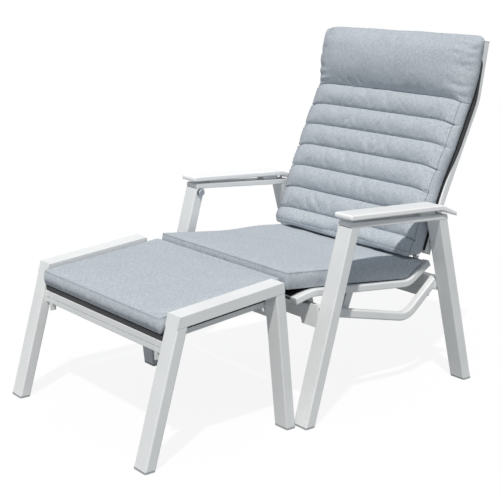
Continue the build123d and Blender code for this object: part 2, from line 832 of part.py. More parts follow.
# Studs of the rear legs on which the back swings
stud_inner_x = back_inner_x + back_tube_wall
flange_x = back_tube_x + back_tube_width / 2 + back_stud_gap
with BuildPart() as back_pivot_studs:
    for side, sign in sides:
        stud_length = leg_inner_x - stud_inner_x
        flange_length = leg_inner_x - flange_x
        add_rod(mirrored_x(sign, stud_inner_x, stud_length), back_pivot, back_stud_radius, stud_length)
        add_rod(mirrored_x(sign, flange_x, flange_length), back_pivot, back_stud_flange, flange_length)
save(back_pivot_studs.part, "back_pivot_studs")

# Swing links under the seat: the upper hole leaves room, because the linkage is opened there
link_x = seat_inner_x - link_gap - link_thickness
link_head_x = link_x - link_gap - link_head_thickness
carrier_inner_x = carrier_x - carrier_width / 2


def link_outline():
    """Flat bar with round ends and its two pivot holes."""
    centre = (
        (link_upper_pivot[0] + link_lower_pivot[0]) / 2,
        (link_upper_pivot[1] + link_lower_pivot[1]) / 2,
    )
    SlotCenterPoint(centre, link_upper_pivot, link_width)
    with Locations(link_upper_pivot):
        Circle(link_stud_radius + open_pivot_clearance, mode=Mode.SUBTRACT)
    with Locations(link_lower_pivot):
        Circle(link_stud_radius + running_clearance, mode=Mode.SUBTRACT)


for side, sign in sides:
    link = make_plate(mirrored_x(sign, link_x, link_thickness), link_thickness, link_outline)
    save(link, f"swing_link_{side}")

with BuildPart() as link_upper_studs:
    for side, sign in sides:
        shank = seat_inner_x - link_head_x
        shank_x = mirrored_x(sign, link_head_x, shank)
        head_start = mirrored_x(sign, link_head_x, link_head_thickness)
        add_rod(shank_x, link_upper_pivot, link_stud_radius, shank)
        add_rod(head_start, link_upper_pivot, link_head_radius, link_head_thickness)
save(link_upper_studs.part, "link_upper_studs")

with BuildPart() as link_lower_studs:
    for side, sign in sides:
        shank = carrier_inner_x - link_head_x
        collar = carrier_inner_x - seat_inner_x
        add_rod(mirrored_x(sign, link_head_x, shank), link_lower_pivot, link_stud_radius, shank)
        add_rod(mirrored_x(sign, seat_inner_x, collar), link_lower_pivot, link_collar_radius, collar)
        head_start = mirrored_x(sign, link_head_x, link_head_thickness)
        add_rod(head_start, link_lower_pivot, link_collar_radius, link_head_thickness)
save(link_lower_studs.part, "link_lower_studs")

# Gas strut on the centreline: cylinder pinned to the front crossbar, rod pinned under the seat's rear bar
strut_run = (strut_rear_pivot[0] - strut_front_pivot[0], strut_rear_pivot[1] - strut_front_pivot[1])
strut_length = hypot(*strut_run)
strut_plane = Plane(
    origin=(0, datum_y + strut_front_pivot[0], strut_front_pivot[1]),
    x_dir=(1, 0, 0),
    z_dir=(0, strut_run[0], strut_run[1]),
)
plate_x = strut_eye_width / 2 + strut_side_gap
pin_half_length = plate_x + strut_plate + 1


def add_strut_rod(start, end, radius, mode=Mode.ADD):
    """Round piece along the strut between two distances from its front pivot."""
    with BuildSketch(strut_plane.offset(start)) as disc:
        Circle(radius)
    extrude(disc.sketch, amount=end - start, mode=mode)


with BuildPart() as strut_cylinder:
    add_rod(-strut_eye_width / 2, strut_front_pivot, strut_eye_radius, strut_eye_width)
    add_strut_rod(0, strut_body_start, strut_eye_width / 2)
    add_strut_rod(strut_body_start, strut_body_end, strut_body_radius)
    bore_end = strut_body_end - strut_cap
    guide_radius = strut_rod_radius + running_clearance
    add_strut_rod(strut_body_start + strut_cap, bore_end, strut_bore_radius, Mode.SUBTRACT)
    add_strut_rod(bore_end, strut_body_end, guide_radius, Mode.SUBTRACT)
    cut_hole(-strut_eye_width, strut_front_pivot, strut_pin_radius + running_clearance, 2 * strut_eye_width)
save(strut_cylinder.part, "strut_cylinder")

with BuildPart() as strut_rod:
    add_rod(-strut_eye_width / 2, strut_rear_pivot, strut_eye_radius, strut_eye_width)
    add_strut_rod(piston_start, strut_length, strut_rod_radius)
    add_strut_rod(piston_start, piston_start + piston_length, strut_bore_radius - running_clearance)
    cut_hole(-strut_eye_width, strut_rear_pivot, strut_pin_radius + strut_open_clearance, 2 * strut_eye_width)
save(strut_rod.part, "strut_rod")


def strut_plate_outline(pivot, seat_at):
    """Side view of a strut bracket plate, from its pin to the bar that carries it."""
    with Locations(pivot):
        Circle(strut_eye_radius)
    with Locations(seat_at):
        Circle(strut_eye_radius)
    make_hull()


def add_strut_bracket(pivot, seat_at):
    """Two plates with the pin between them."""
    for start in (plate_x, -plate_x - strut_plate):
        add(make_plate(start, strut_plate, lambda: strut_plate_outline(pivot, seat_at)))
    add_rod(-pin_half_length, pivot, strut_pin_radius, 2 * pin_half_length)


with BuildPart() as strut_front_mount:
    add_strut_bracket(strut_front_pivot, (carrier_front, strut_front_pivot[1]))
    split(bisect_by=Plane.XZ.offset(-datum_y - carrier_front), keep=Keep.BOTTOM)
save(strut_front_mount.part, "strut_front_mount")

under_bar = bar_over.offset(-seat_rail_height)
under_bar_spot = (under_bar.origin.Y - datum_y, under_bar.origin.Z)
with BuildPart() as strut_rear_mount:
    add_strut_bracket(strut_rear_pivot, under_bar_spot)
    split(bisect_by=under_bar, keep=Keep.BOTTOM)
save(strut_rear_mount.part, "strut_rear_mount")

# Footstool frame
stool_front_leg = (stool_front_foot, stool_front_slope)
stool_rear_leg = (stool_rear_foot, stool_rear_slope)
stool_rail_start = stool_front_foot + stool_front_slope * stool_rail_front_height
stool_rail_line = (stool_rail_start, stool_rail_front_height, stool_rail_slope)
stool_rail_drop = stool_rail_thickness * hypot(1, stool_rail_slope)
stool_underside = cut_plane(stool_rail_start, stool_rail_front_height - stool_rail_drop, stool_rail_slope)

for side, sign in sides:
    x = sign * stool_leg_x
    for end, (foot, slope) in (("front", stool_front_leg), ("rear", stool_rear_leg)):
        leg = make_leg(x, foot, slope, stool_leg_width, stool_leg_depth, stool_underside)
        save(leg, f"stool_{end}_leg_{side}")
    rail = make_top_rail(
        x,
        stool_leg_width,
        stool_rail_thickness,
        stool_front_leg,
        stool_rear_leg,
        stool_rail_line,
        stool_leg_depth,
    )
    save(rail, f"stool_top_rail_{side}")

with BuildPart() as stool_foot_glides:
    for side, sign in sides:
        for foot, slope in (stool_front_leg, stool_rear_leg):
            add_glide(sign * stool_leg_x, foot, slope, stool_leg_width, stool_leg_depth)
save(stool_foot_glides.part, "stool_foot_glides")

# Footstool crossbars; the front one is an extrusion with a groove along its face
stool_front_bar_top = stool_front_bar_bottom + stool_front_bar_height
with BuildPart() as stool_front_bar:
    add(
        make_bar(
            stool_front_bar_y,
            stool_front_bar_depth,
            stool_front_bar_bottom,
            stool_front_bar_height,
            stool_inner_x,
        )
    )
    groove_z = stool_front_bar_bottom + stool_groove_rise
    groove_y = stool_front_bar_y + stool_groove_depth / 2
    with Locations((0, datum_y + groove_y, groove_z)):
        Box(2 * stool_inner_x, stool_groove_depth, stool_groove_height, mode=Mode.SUBTRACT)
save(stool_front_bar.part, "stool_front_bar")

stool_rear_bar = make_bar(
    stool_rear_bar_y,
    stool_rear_bar_depth,
    stool_rear_bar_bottom,
    stool_rear_bar_height,
    stool_inner_x,
    leg_wall,
)
save(stool_rear_bar, "stool_rear_bar")

# Side bars carry the sling from the front bar to the rear bar


def sling_height(y):
    """Height of the sling's underside at y."""
    return stool_sling_height + stool_rail_slope * (y - stool_sling_front)


def stool_side_bar_outline():
    """Side view of a side bar, resting on the front bar and against the rear bar."""
    front = stool_sling_front
    rear = stool_rear_bar_y
    Polygon(
        (front, sling_height(front)),
        (front, stool_front_bar_top),
        (rear, sling_height(rear) - stool_side_bar_height),
        (rear, sling_height(rear)),
        align=None,
    )


with BuildPart() as stool_side_bars:
    for side, sign in sides:
        start = mirrored_x(sign, stool_side_bar_inner, stool_side_bar_width)
        add(make_plate(start, stool_side_bar_width, stool_side_bar_outline))
    split(bisect_by=Plane.XY.offset(stool_front_bar_top), keep=Keep.TOP)
save(stool_side_bars.part, "stool_side_bars")


def stool_sling_outline():
    """Side view of the sling with its lip in front of the side bars."""
    front = stool_sling_front - sling_thickness
    low = sling_height(stool_sling_rear)
    Polygon(
        (front, stool_front_bar_top),
        (front, sling_height(front) + sling_thickness),
        (stool_sling_rear, low + sling_thickness),
        (stool_sling_rear, low),
        (front + sling_thickness, sling_height(stool_sling_front)),
        (front + sling_thickness, stool_front_bar_top),
        align=None,
    )


sling_half_width = stool_inner_x - stool_side_gap
stool_sling = make_plate(-sling_half_width, 2 * sling_half_width, stool_sling_outline)
save(stool_sling, "stool_sling")


def stool_plate_outline():
    """Hooked end plate of the front bar."""
    rear = stool_front_bar_y
    Polygon(
        (rear, stool_front_bar_top),
        (rear - sling_thickness, stool_front_bar_top),
        (rear - stool_plate_thickness, stool_front_bar_bottom),
        (rear - stool_plate_thickness, stool_front_bar_bottom - stool_plate_drop),
        (rear + stool_front_bar_depth / 2, stool_front_bar_bottom - stool_plate_drop),
        (rear + stool_front_bar_depth / 2, stool_front_bar_bottom),
        (rear, stool_front_bar_bottom),
        align=None,
    )


with BuildPart() as stool_end_plates:
    for side, sign in sides:
        start = mirrored_x(sign, stool_inner_x - stool_plate_inset, stool_plate_thickness)
        add(make_plate(start, stool_plate_thickness, stool_plate_outline))
save(stool_end_plates.part, "stool_end_plates")

with BuildPart() as stool_bolts:
    bolt_z = stool_rear_bar_bottom + stool_rear_bar_height / 2
    for side, sign in sides:
        bolt_spot = (sign * (stool_inner_x - stool_bolt_inset), datum_y + stool_rear_bar_y, bolt_z)
        head = Plane(origin=bolt_spot, x_dir=(1, 0, 0), z_dir=(0, -1, 0))
        with BuildSketch(head):
            Circle(stool_bolt_radius)
        extrude(amount=stool_bolt_height)
save(stool_bolts.part, "stool_bolts")

stool_cushion_bottom = sling_height(stool_cushion_front) + sling_thickness + soft_gap
stool_cushion = make_seat_pad(
    stool_cushion_front,
    stool_cushion_rear,
    stool_cushion_half_width,
    stool_cushion_bulge,
    stool_cushion_bottom,
    stool_rail_slope,
    stool_cushion_thickness,
    stool_cushion_crown,
)
save(stool_cushion, "stool_cushion")
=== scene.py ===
"""Looks of a reclining garden armchair and its footstool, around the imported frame.

Lengths are metres. The sitter faces -Y, and the sitter's left is +X. The sections follow the order in
which the chair and the footstool are put together: tubes, armrests, fasteners, gas strut and feet, and
then slings, tube plugs and cushions.
"""

from math import atan2, cos, hypot, pi, radians, sin, sqrt, tan

import bpy
from mathutils import Matrix, Vector, noise


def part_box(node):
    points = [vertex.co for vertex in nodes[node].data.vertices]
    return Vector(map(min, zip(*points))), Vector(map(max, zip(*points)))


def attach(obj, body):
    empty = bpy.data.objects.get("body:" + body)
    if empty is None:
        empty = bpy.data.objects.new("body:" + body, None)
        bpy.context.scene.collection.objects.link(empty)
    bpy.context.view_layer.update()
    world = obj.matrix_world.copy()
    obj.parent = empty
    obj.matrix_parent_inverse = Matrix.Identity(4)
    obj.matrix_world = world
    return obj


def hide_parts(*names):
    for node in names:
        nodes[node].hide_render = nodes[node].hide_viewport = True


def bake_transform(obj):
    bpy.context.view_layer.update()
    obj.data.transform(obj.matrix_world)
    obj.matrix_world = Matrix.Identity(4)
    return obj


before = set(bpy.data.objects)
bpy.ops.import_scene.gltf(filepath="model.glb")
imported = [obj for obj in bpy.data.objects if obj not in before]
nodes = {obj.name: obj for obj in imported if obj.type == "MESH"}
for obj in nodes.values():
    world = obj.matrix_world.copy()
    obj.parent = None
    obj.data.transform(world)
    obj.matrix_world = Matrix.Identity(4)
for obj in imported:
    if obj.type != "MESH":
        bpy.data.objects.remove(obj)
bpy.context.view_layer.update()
bpy.ops.object.select_all(action="DESELECT")

# Camera: somebody of sitting height, two and a half metres off the chair's front left corner.
# The view is turned a degree and a bit clockwise, as the photograph is.
camera_place = Vector((2.339, -1.9639, 1.144))
camera_turn = radians(50.27)
camera_drop = radians(13.72)
camera_roll = radians(1.187)
camera_lens = 79.48

ahead = Vector(
    (-sin(camera_turn) * cos(camera_drop), cos(camera_turn) * cos(camera_drop), -sin(camera_drop))
)
level = Vector((cos(camera_turn), sin(camera_turn), 0))
upward = level.cross(ahead)
side_axis = level * cos(camera_roll) + upward * sin(camera_roll)
top_axis = upward * cos(camera_roll) - level * sin(camera_roll)
view_axes = Matrix((side_axis, top_axis, -ahead)).transposed()
bpy.ops.object.camera_add(location=camera_place, rotation=view_axes.to_euler())
camera = bpy.context.object
camera.data.lens = camera_lens
bpy.context.scene.camera = camera
bpy.context.scene.view_settings.view_transform = "Standard"

# Light: high sun from in front and from the sitter's left, a little softened, and a clear sky all round.
# The white surroundings are only seen by the camera and in reflections.
sun_from = Vector((0.42, -0.5, 1.0))
sun_strength = 2.7
sun_spread = radians(2)
sun_colour = (1.0, 0.97, 0.93)
sky_colour = (0.87, 0.955, 1.07)
sky_strength = 0.31
surroundings_colour = (1, 1, 1, 1)


def add_node(tree, kind, inputs=None, **settings):
    """Add a node with its own settings; each input takes a value or another node's output."""
    node = tree.nodes.new(kind)
    for name, value in settings.items():
        setattr(node, name, value)
    for name, value in (inputs or {}).items():
        if isinstance(value, bpy.types.NodeSocket):
            tree.links.new(value, node.inputs[name])
        else:
            node.inputs[name].default_value = value
    return node


def seen_as(tree, lit_by, bright):
    """The bright shader for the camera and in reflections, and the other one for all other light."""
    rays = add_node(tree, "ShaderNodeLightPath")
    seen_rays = {0: rays.outputs["Is Camera Ray"], 1: rays.outputs["Is Glossy Ray"]}
    seen = add_node(tree, "ShaderNodeMath", seen_rays, operation="MAXIMUM")
    either = add_node(tree, "ShaderNodeMixShader", {0: seen.outputs[0], 1: lit_by, 2: bright})
    return either.outputs[0]


bpy.ops.object.light_add(type="SUN", rotation=sun_from.to_track_quat("Z", "Y").to_euler())
sun = bpy.context.object
sun.name = "sun"
sun.data.energy = sun_strength
sun.data.angle = sun_spread
sun.data.color = sun_colour

world = bpy.data.worlds.new("open sky")
bpy.context.scene.world = world
world.use_nodes = True
sky = world.node_tree
sky.nodes.clear()
light = add_node(sky, "ShaderNodeBackground", {"Color": (*sky_colour, 1), "Strength": sky_strength})
white = add_node(sky, "ShaderNodeBackground", {"Color": surroundings_colour, "Strength": 1.0})
add_node(sky, "ShaderNodeOutputWorld", {"Surface": seen_as(sky, light.outputs[0], white.outputs[0])})


# Floor: a wide pale terrace slab under all eight feet. It bleeds into the white surroundings
# for the camera and keeps a faint shadow, and throws back no more light than paving does.
floor_size = 14
floor_glow = 0.9
floor_colour = "#FFFFFF"
paving_colour = "#9B9D9E"


def linear(hex_colour):
    """An sRGB hex colour as linear red, green, blue and alpha."""
    shares = [int(hex_colour[i : i + 2], 16) / 255 for i in (1, 3, 5)]
    return [c / 12.92 if c <= 0.04045 else ((c + 0.055) / 1.055) ** 2.4 for c in shares] + [1.0]


def new_material(name):
    """A material with its node tree and its main shader."""
    material = bpy.data.materials.new(name)
    material.use_nodes = True
    tree = material.node_tree
    return material, tree, tree.nodes["Principled BSDF"]


bpy.ops.mesh.primitive_plane_add(size=floor_size, location=(0, 0, 0))
floor = bpy.context.object
floor.name = "floor"
slab, tree, shader = new_material("pale floor")
shader.inputs["Base Color"].default_value = linear(floor_colour)
shader.inputs["Roughness"].default_value = 1.0
shader.inputs["Specular IOR Level"].default_value = 0.0
glow = add_node(tree, "ShaderNodeEmission", {"Color": surroundings_colour, "Strength": 1.0})
bleed = add_node(tree, "ShaderNodeMixShader", {0: floor_glow, 1: shader.outputs[0], 2: glow.outputs[0]})
paving = add_node(tree, "ShaderNodeBsdfDiffuse", {"Color": linear(paving_colour)})
surface = seen_as(tree, paving.outputs[0], bleed.outputs[0])
tree.links.new(surface, tree.nodes["Material Output"].inputs["Surface"])
floor.data.materials.append(slab)

# Side frames, crossbars and bent tubes: aluminium box tube, mitred, welded and powder coated white.
# Baked powder gives a satin skin with a fine orange peel, whose white and gloss drift a little.
coat_colours = ("#E7E9E9", "#EEF0F0")
coat_roughness = 0.42
peel_size = 0.0016
peel_depth = 0.00005
peel_strength = 0.6
cloud_size = 0.12
cloud_range = (0.3, 0.7)
gloss_drift = 0.05


def powder_coat(name, colours, roughness):
    """Baked powder coat: a slow drift between two near whites, and a fine orange peel."""
    material, tree, shader = new_material(name)
    place = add_node(tree, "ShaderNodeTexCoord").outputs["Object"]
    cloud = add_node(tree, "ShaderNodeTexNoise", {"Vector": place, "Scale": 1 / cloud_size, "Detail": 2.0})
    tint = add_node(tree, "ShaderNodeValToRGB", {0: cloud.outputs[0]})
    tint.color_ramp.elements[0].color = linear(colours[0])
    tint.color_ramp.elements[0].position = cloud_range[0]
    tint.color_ramp.elements[1].color = linear(colours[1])
    tint.color_ramp.elements[1].position = cloud_range[1]
    tree.links.new(tint.outputs[0], shader.inputs["Base Color"])
    peel = add_node(tree, "ShaderNodeTexNoise", {"Vector": place, "Scale": 1 / peel_size, "Detail": 3.0})
    relief = {"Height": peel.outputs[0], "Distance": peel_depth, "Strength": peel_strength}
    bump = add_node(tree, "ShaderNodeBump", relief)
    tree.links.new(bump.outputs[0], shader.inputs["Normal"])
    smoothest, roughest = roughness - gloss_drift, roughness + gloss_drift
    gloss = add_node(tree, "ShaderNodeMapRange", {0: cloud.outputs[0], 3: smoothest, 4: roughest})
    tree.links.new(gloss.outputs[0], shader.inputs["Roughness"])
    return material


def finish_nodes(names, material):
    """Give CAD nodes a finish in place of their plain one."""
    for name in names:
        node = nodes[name]
        if node.material_slots:
            node.material_slots[0].material = material
        else:
            node.data.materials.append(material)


def both_sides(*names):
    """The left and the right node of each name."""
    return [f"{name}_{side}" for name in names for side in ("left", "right")]


coat = powder_coat("white powder coat", coat_colours, coat_roughness)
frame_tubes = both_sides(
    "front_leg", "rear_leg", "top_rail", "seat_carrier", "back_side_tube", "seat_side_rail", "swing_link"
)
frame_tubes += ["front_crossbar", "rear_crossbar", "rear_lower_bar", "back_top_bar", "back_lower_bar"]
frame_tubes += ["seat_front_bar", "seat_rear_bar", "corner_brackets", "armrest_spacers"]
frame_tubes += ["back_hinge_lugs", "seat_hinge_lugs", "strut_front_mount", "strut_rear_mount"]
frame_tubes += both_sides("stool_front_leg", "stool_rear_leg", "stool_top_rail")
frame_tubes += ["stool_rear_bar", "stool_side_bars", "stool_front_bar", "stool_end_plates"]
finish_nodes(frame_tubes, coat)

# Armrests: hollow extruded aluminium boards in the same white, painted a little lighter all over as painted
# light for the sun on their tops, and a touch glossier where hands rub them.
# They are bent down at the rear and closed at the front.
armrest_sunlit_colours = ("#F8F9F9", "#FDFDFD")
armrest_roughness = 0.34
armrest_specular = 0.85

# Painted light: the armrest coat is a lighter copy of the frame's white coat.
armrest_coat = powder_coat("satin armrest coat", armrest_sunlit_colours, armrest_roughness)
armrest_shader = armrest_coat.node_tree.nodes["Principled BSDF"]
armrest_shader.inputs["Specular IOR Level"].default_value = armrest_specular
finish_nodes(both_sides("armrest"), armrest_coat)

# Studs, bolts and the release button: turned and polished stainless steel.
# Polishing takes the rings of the turning away, and handling leaves soft smears in the gloss.
steel_colour = "#C9CCCF"
smear_size = 0.006
steel_roughness = (0.14, 0.34)

steel, tree, shader = new_material("polished stainless steel")
shader.inputs["Base Color"].default_value = linear(steel_colour)
shader.inputs["Metallic"].default_value = 1.0
place = add_node(tree, "ShaderNodeTexCoord").outputs["Object"]
smear = add_node(tree, "ShaderNodeTexNoise", {"Vector": place, "Scale": 1 / smear_size, "Detail": 4.0})
smears = {0: smear.outputs[0], 3: steel_roughness[0], 4: steel_roughness[1]}
gloss = add_node(tree, "ShaderNodeMapRange", smears)
tree.links.new(gloss.outputs[0], shader.inputs["Roughness"])
finish_nodes(
    [
        "armrest_studs",
        "armrest_bolts",
        "button_bezel",
        "release_button",
        "back_pivot_studs",
        "link_lower_studs",
        "link_upper_studs",
        "seat_hinge_bolts",
        "stool_bolts",
    ],
    steel,
)

# Gas strut: black lacquered steel cylinder with a polished steel rod.
# The lacquer is smooth and glossy, with a few dusty patches.
lacquer_colour = "#1B1C1F"
lacquer_roughness = (0.22, 0.5)
dust_patches_per_metre = 45.0

lacquer, tree, shader = new_material("black lacquered steel")
shader.inputs["Base Color"].default_value = linear(lacquer_colour)
place = add_node(tree, "ShaderNodeTexCoord").outputs["Object"]
dusting = {"Vector": place, "Scale": dust_patches_per_metre, "Detail": 5.0}
dust = add_node(tree, "ShaderNodeTexNoise", dusting)
patches = {0: dust.outputs[0], 3: lacquer_roughness[0], 4: lacquer_roughness[1]}
gloss = add_node(tree, "ShaderNodeMapRange", patches)
tree.links.new(gloss.outputs[0], shader.inputs["Roughness"])
finish_nodes(["strut_cylinder"], lacquer)
finish_nodes(["strut_rod"], steel)

# Feet: injection moulded polyethylene glides, light grey to go with the legs, with a spark-eroded grain.
# The grain is about twice as coarse as real.
glide_colour = "#B4B7B9"
glide_roughness = 0.62
grain_size = 0.0008
grain_depth = 0.0001
grain_strength = 0.5

glide_plastic, tree, shader = new_material("grained polyethylene")
shader.inputs["Base Color"].default_value = linear(glide_colour)
shader.inputs["Roughness"].default_value = glide_roughness
place = add_node(tree, "ShaderNodeTexCoord").outputs["Object"]
grain = add_node(tree, "ShaderNodeTexNoise", {"Vector": place, "Scale": 1 / grain_size, "Detail": 2.0})
relief = {"Height": grain.outputs[0], "Distance": grain_depth, "Strength": grain_strength}
bump = add_node(tree, "ShaderNodeBump", relief)
tree.links.new(bump.outputs[0], shader.inputs["Normal"])
finish_nodes(["chair_foot_glides", "stool_foot_glides"], glide_plastic)

# Slings: black vinyl-coated polyester mesh, stretched over the frames and welded to keders in the tubes.
# The open weave is drawn as a basket of glossy coated yarns, about twice as coarse as real,
# with painted shade: the black is lighter on the yarns' crests and darker in the lows between them.
mesh_pitch = 0.0024
mesh_height = 0.0004
mesh_relief = 0.8
mesh_roughness = 0.55
mesh_relief_shade_colours = ("#0E0F11", "#2C2F34")
mesh_thickness = 0.001
mesh_grid = 0.006


def weave(tree, lay, pitch):
    """The ups and downs of a plain weave: a wave along the threads times a wave across them."""
    split = add_node(tree, "ShaderNodeSeparateXYZ", {0: lay})
    waves = []
    for axis in ("X", "Y"):
        turns = {0: split.outputs[axis], 1: pi / pitch}
        angle = add_node(tree, "ShaderNodeMath", turns, operation="MULTIPLY")
        waves.append(add_node(tree, "ShaderNodeMath", {0: angle.outputs[0]}, operation="SINE").outputs[0])
    return add_node(tree, "ShaderNodeMath", {0: waves[0], 1: waves[1]}, operation="MULTIPLY").outputs[0]


mesh_cloth, tree, shader = new_material("coated polyester mesh")
lay = add_node(tree, "ShaderNodeUVMap", uv_map="threads").outputs["UV"]
yarns = add_node(tree, "ShaderNodeMath", {0: weave(tree, lay, mesh_pitch)}, operation="ABSOLUTE")
# Painted shade: the colour follows the weave's height, darker in its lows and lighter on its crests.
ramp = add_node(tree, "ShaderNodeValToRGB", {0: yarns.outputs[0]})
ramp.color_ramp.elements[0].color = linear(mesh_relief_shade_colours[0])
ramp.color_ramp.elements[1].color = linear(mesh_relief_shade_colours[1])
tree.links.new(ramp.outputs[0], shader.inputs["Base Color"])
shader.inputs["Roughness"].default_value = mesh_roughness
relief = {"Height": yarns.outputs[0], "Distance": mesh_height, "Strength": mesh_relief}
bump = add_node(tree, "ShaderNodeBump", relief)
tree.links.new(bump.outputs[0], shader.inputs["Normal"])


def sign(value):
    """1 above zero, and -1 otherwise."""
    return 1 if value > 0 else -1


def start_selection(kind):
    """Deselect all of the active mesh, ready to select its edges or faces in code."""
    bpy.ops.object.mode_set(mode="EDIT")
    bpy.ops.mesh.select_mode(type=kind)
    bpy.ops.mesh.select_all(action="DESELECT")
    bpy.ops.object.mode_set(mode="OBJECT")


def lay_threads(piece):
    """Lay the threads on a flat piece: its own flat sizes become its one UV map."""
    piece.data.uv_layers.new(name="threads")
    for other in [layer.name for layer in piece.data.uv_layers if layer.name != "threads"]:
        piece.data.uv_layers.remove(piece.data.uv_layers[other])
    threads = piece.data.uv_layers["threads"]
    for face in piece.data.polygons:
        facing = max(range(3), key=lambda axis: abs(face.normal[axis]))
        across, up = [(1, 2), (0, 2), (0, 1)][facing]
        for corner in face.loop_indices:
            spot = piece.data.vertices[piece.data.loops[corner].vertex_index].co
            threads.data[corner].uv = (spot[across], spot[up])


def over_edge(distance, reach, radius):
    """Where a sheet's point comes to lie over an edge: its place, and how far down it is."""
    level_part = reach - radius
    past = abs(distance) - level_part
    if past <= 0:
        return distance, 0
    angle = min(past / radius, pi / 2)
    drop = radius * (1 - cos(angle)) + max(0, past - radius * pi / 2)
    return sign(distance) * (level_part + radius * sin(angle)), drop


def mesh_sheet(name, width, length, place, notched=None):
    """A sling cut to its flat size, put in place over its frame, with its own thickness."""
    columns, rows = round(width / mesh_grid), round(length / mesh_grid)
    bpy.ops.mesh.primitive_grid_add(x_subdivisions=columns, y_subdivisions=rows, size=1)
    sling = bpy.context.object
    sling.name = name
    sling.scale = (width, length, 1)
    bpy.ops.object.transform_apply(location=True, rotation=True, scale=True)
    lay_threads(sling)
    if notched:
        start_selection("FACE")
        for face in sling.data.polygons:
            face.select = notched(*face.center.xy)
        bpy.ops.object.mode_set(mode="EDIT")
        bpy.ops.mesh.delete(type="FACE")
        bpy.ops.object.mode_set(mode="OBJECT")
    for vertex in sling.data.vertices:
        vertex.co = place(*vertex.co.xy)
    wall = sling.modifiers.new("wall", "SOLIDIFY")
    wall.thickness = mesh_thickness
    wall.offset = 0
    bpy.ops.object.modifier_apply(modifier=wall.name)
    bpy.ops.object.shade_smooth_by_angle(angle=radians(50))
    sling.data.materials.append(mesh_cloth)
    return sling


# Back sling: laid over the front of both back tubes and drawn round their outer sides at the bend,
# with a roll over the bar at each end. Its edges are trimmed back towards both ends.
front_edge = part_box("chair_foot_glides")[0].y
back_bends = ((0.509, 0.3948), (0.5635, 0.551), (0.6845, 0.8205), (0.7095, 0.987))
back_radii = (0.4, 0.15)
back_tube_depth = 0.025
sling_corner = 0.0055
end_roll = 0.006
turned_in = 0.004
flap_low = 0.19
flap_full = 0.33
flap_high = 0.56
flap_ending = 0.59
flap_left = 0.12
sling_past_side = 0.0008
sling_over_front = 0.0007
sling_short_of_end = 0.002


def bent_line(corners, radii):
    """A line of runs and tangent arcs in the fore-and-aft plane.

    Gives a function from the distance along it to (y, z, direction), carried on straight past its ends.
    """
    spots = [Vector((front_edge + y, z)) for y, z in corners]
    legs = []
    here = spots[0]
    for index in range(1, len(spots)):
        heading = (spots[index] - spots[index - 1]).normalized()
        if index < len(spots) - 1:
            after = (spots[index + 1] - spots[index]).normalized()
            turn = atan2(heading.x * after.y - heading.y * after.x, heading.dot(after))
            cut = radii[index - 1] * tan(abs(turn) / 2)
        else:
            turn, cut = 0, 0
        run_end = spots[index] - heading * cut
        legs.append((here, heading, (run_end - here).length, 0))
        if turn:
            radius = radii[index - 1]
            legs.append((run_end, heading, radius * abs(turn), turn / abs(turn) / radius))
            here = spots[index] + after * cut

    def at(distance):
        for number, (start, heading, length, bend) in enumerate(legs):
            if distance <= length or number == len(legs) - 1:
                break
            distance -= length
        base = atan2(heading.y, heading.x)
        if not bend:
            spot = start + heading * distance
            return spot.x, spot.y, base
        now = base + bend * distance
        return start.x + (sin(now) - sin(base)) / bend, start.y + (cos(base) - cos(now)) / bend, now

    at.length = sum(leg[2] for leg in legs)
    return at


def beside(line, x, along, away):
    """A point at x beside a bent line: a distance along it, and away from it towards the sitter."""
    y, z, direction = line(along)
    return Vector((x, y - sin(direction) * away, z + cos(direction) * away))


def ramp_up(value, start, end):
    """Smooth step from 0 at start to 1 at end."""
    share = min(1, max(0, (value - start) / (end - start)))
    return share * share * (3 - 2 * share)


back_line = bent_line(back_bends, back_radii)
back_sling_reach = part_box("back_side_tube_left")[1].x + sling_past_side
back_sling_side = 0.009
back_sling_top = back_tube_depth / 2 + sling_over_front
back_sling_middle = back_line.length / 2
back_sling_end = back_line.length / 2 - sling_short_of_end
back_sling_front = back_sling_reach - sling_corner
back_flat_width = 2 * (back_sling_front + sling_corner * pi / 2 + back_sling_side - sling_corner)
back_flat_length = 2 * (back_sling_end - end_roll + end_roll * pi / 2 + turned_in)


def on_back_sling(across, along):
    """Place of a point of the back sling, from its place on the flat cut."""
    place = back_sling_middle + along
    shown = ramp_up(place, flap_low, flap_full) * (1 - ramp_up(place, flap_high, flap_ending))
    past = abs(across) - back_sling_front
    if past > 0:
        across = (back_sling_front + past * (flap_left + (1 - flap_left) * shown)) * sign(across)
    x, side_drop = over_edge(across, back_sling_reach, sling_corner)
    run, end_drop = over_edge(along, back_sling_end, end_roll)
    return beside(back_line, x, back_sling_middle + run, back_sling_top - side_drop - end_drop)


def off_back_corner(across, along):
    """True at the corners of the flat cut, which are notched out."""
    return abs(across) > back_sling_front and abs(along) > back_sling_end - end_roll


back_mesh = mesh_sheet(
    "back_sling_mesh", back_flat_width, back_flat_length, on_back_sling, off_back_corner
)
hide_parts("back_sling")
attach(back_mesh, "back")

# Seat sling: stretched between the seat's side rails, level with their tops,
# and rolled over the front and the rear bar.
seat_bends = ((0.018, 0.331), (0.075, 0.345), (0.452, 0.311), (0.532, 0.359))
seat_radii = (0.15, 0.06)
seat_rail_half = 0.010
seat_sling_inset = 0.0006
seat_sling_past_end = 0.0006
seat_sling_over_rail = 0.0008
seat_line = bent_line(seat_bends, seat_radii)
seat_sling_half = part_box("seat_sling")[1].x - seat_sling_inset
seat_sling_middle = seat_line.length / 2
seat_sling_end = seat_line.length / 2 + seat_sling_past_end
seat_sling_top = seat_rail_half + seat_sling_over_rail
seat_dip = 0.0015
seat_dip_start = 0.018
seat_dip_full = 0.05
seat_flat_length = 2 * (seat_sling_end - end_roll + end_roll * pi / 2 + turned_in)


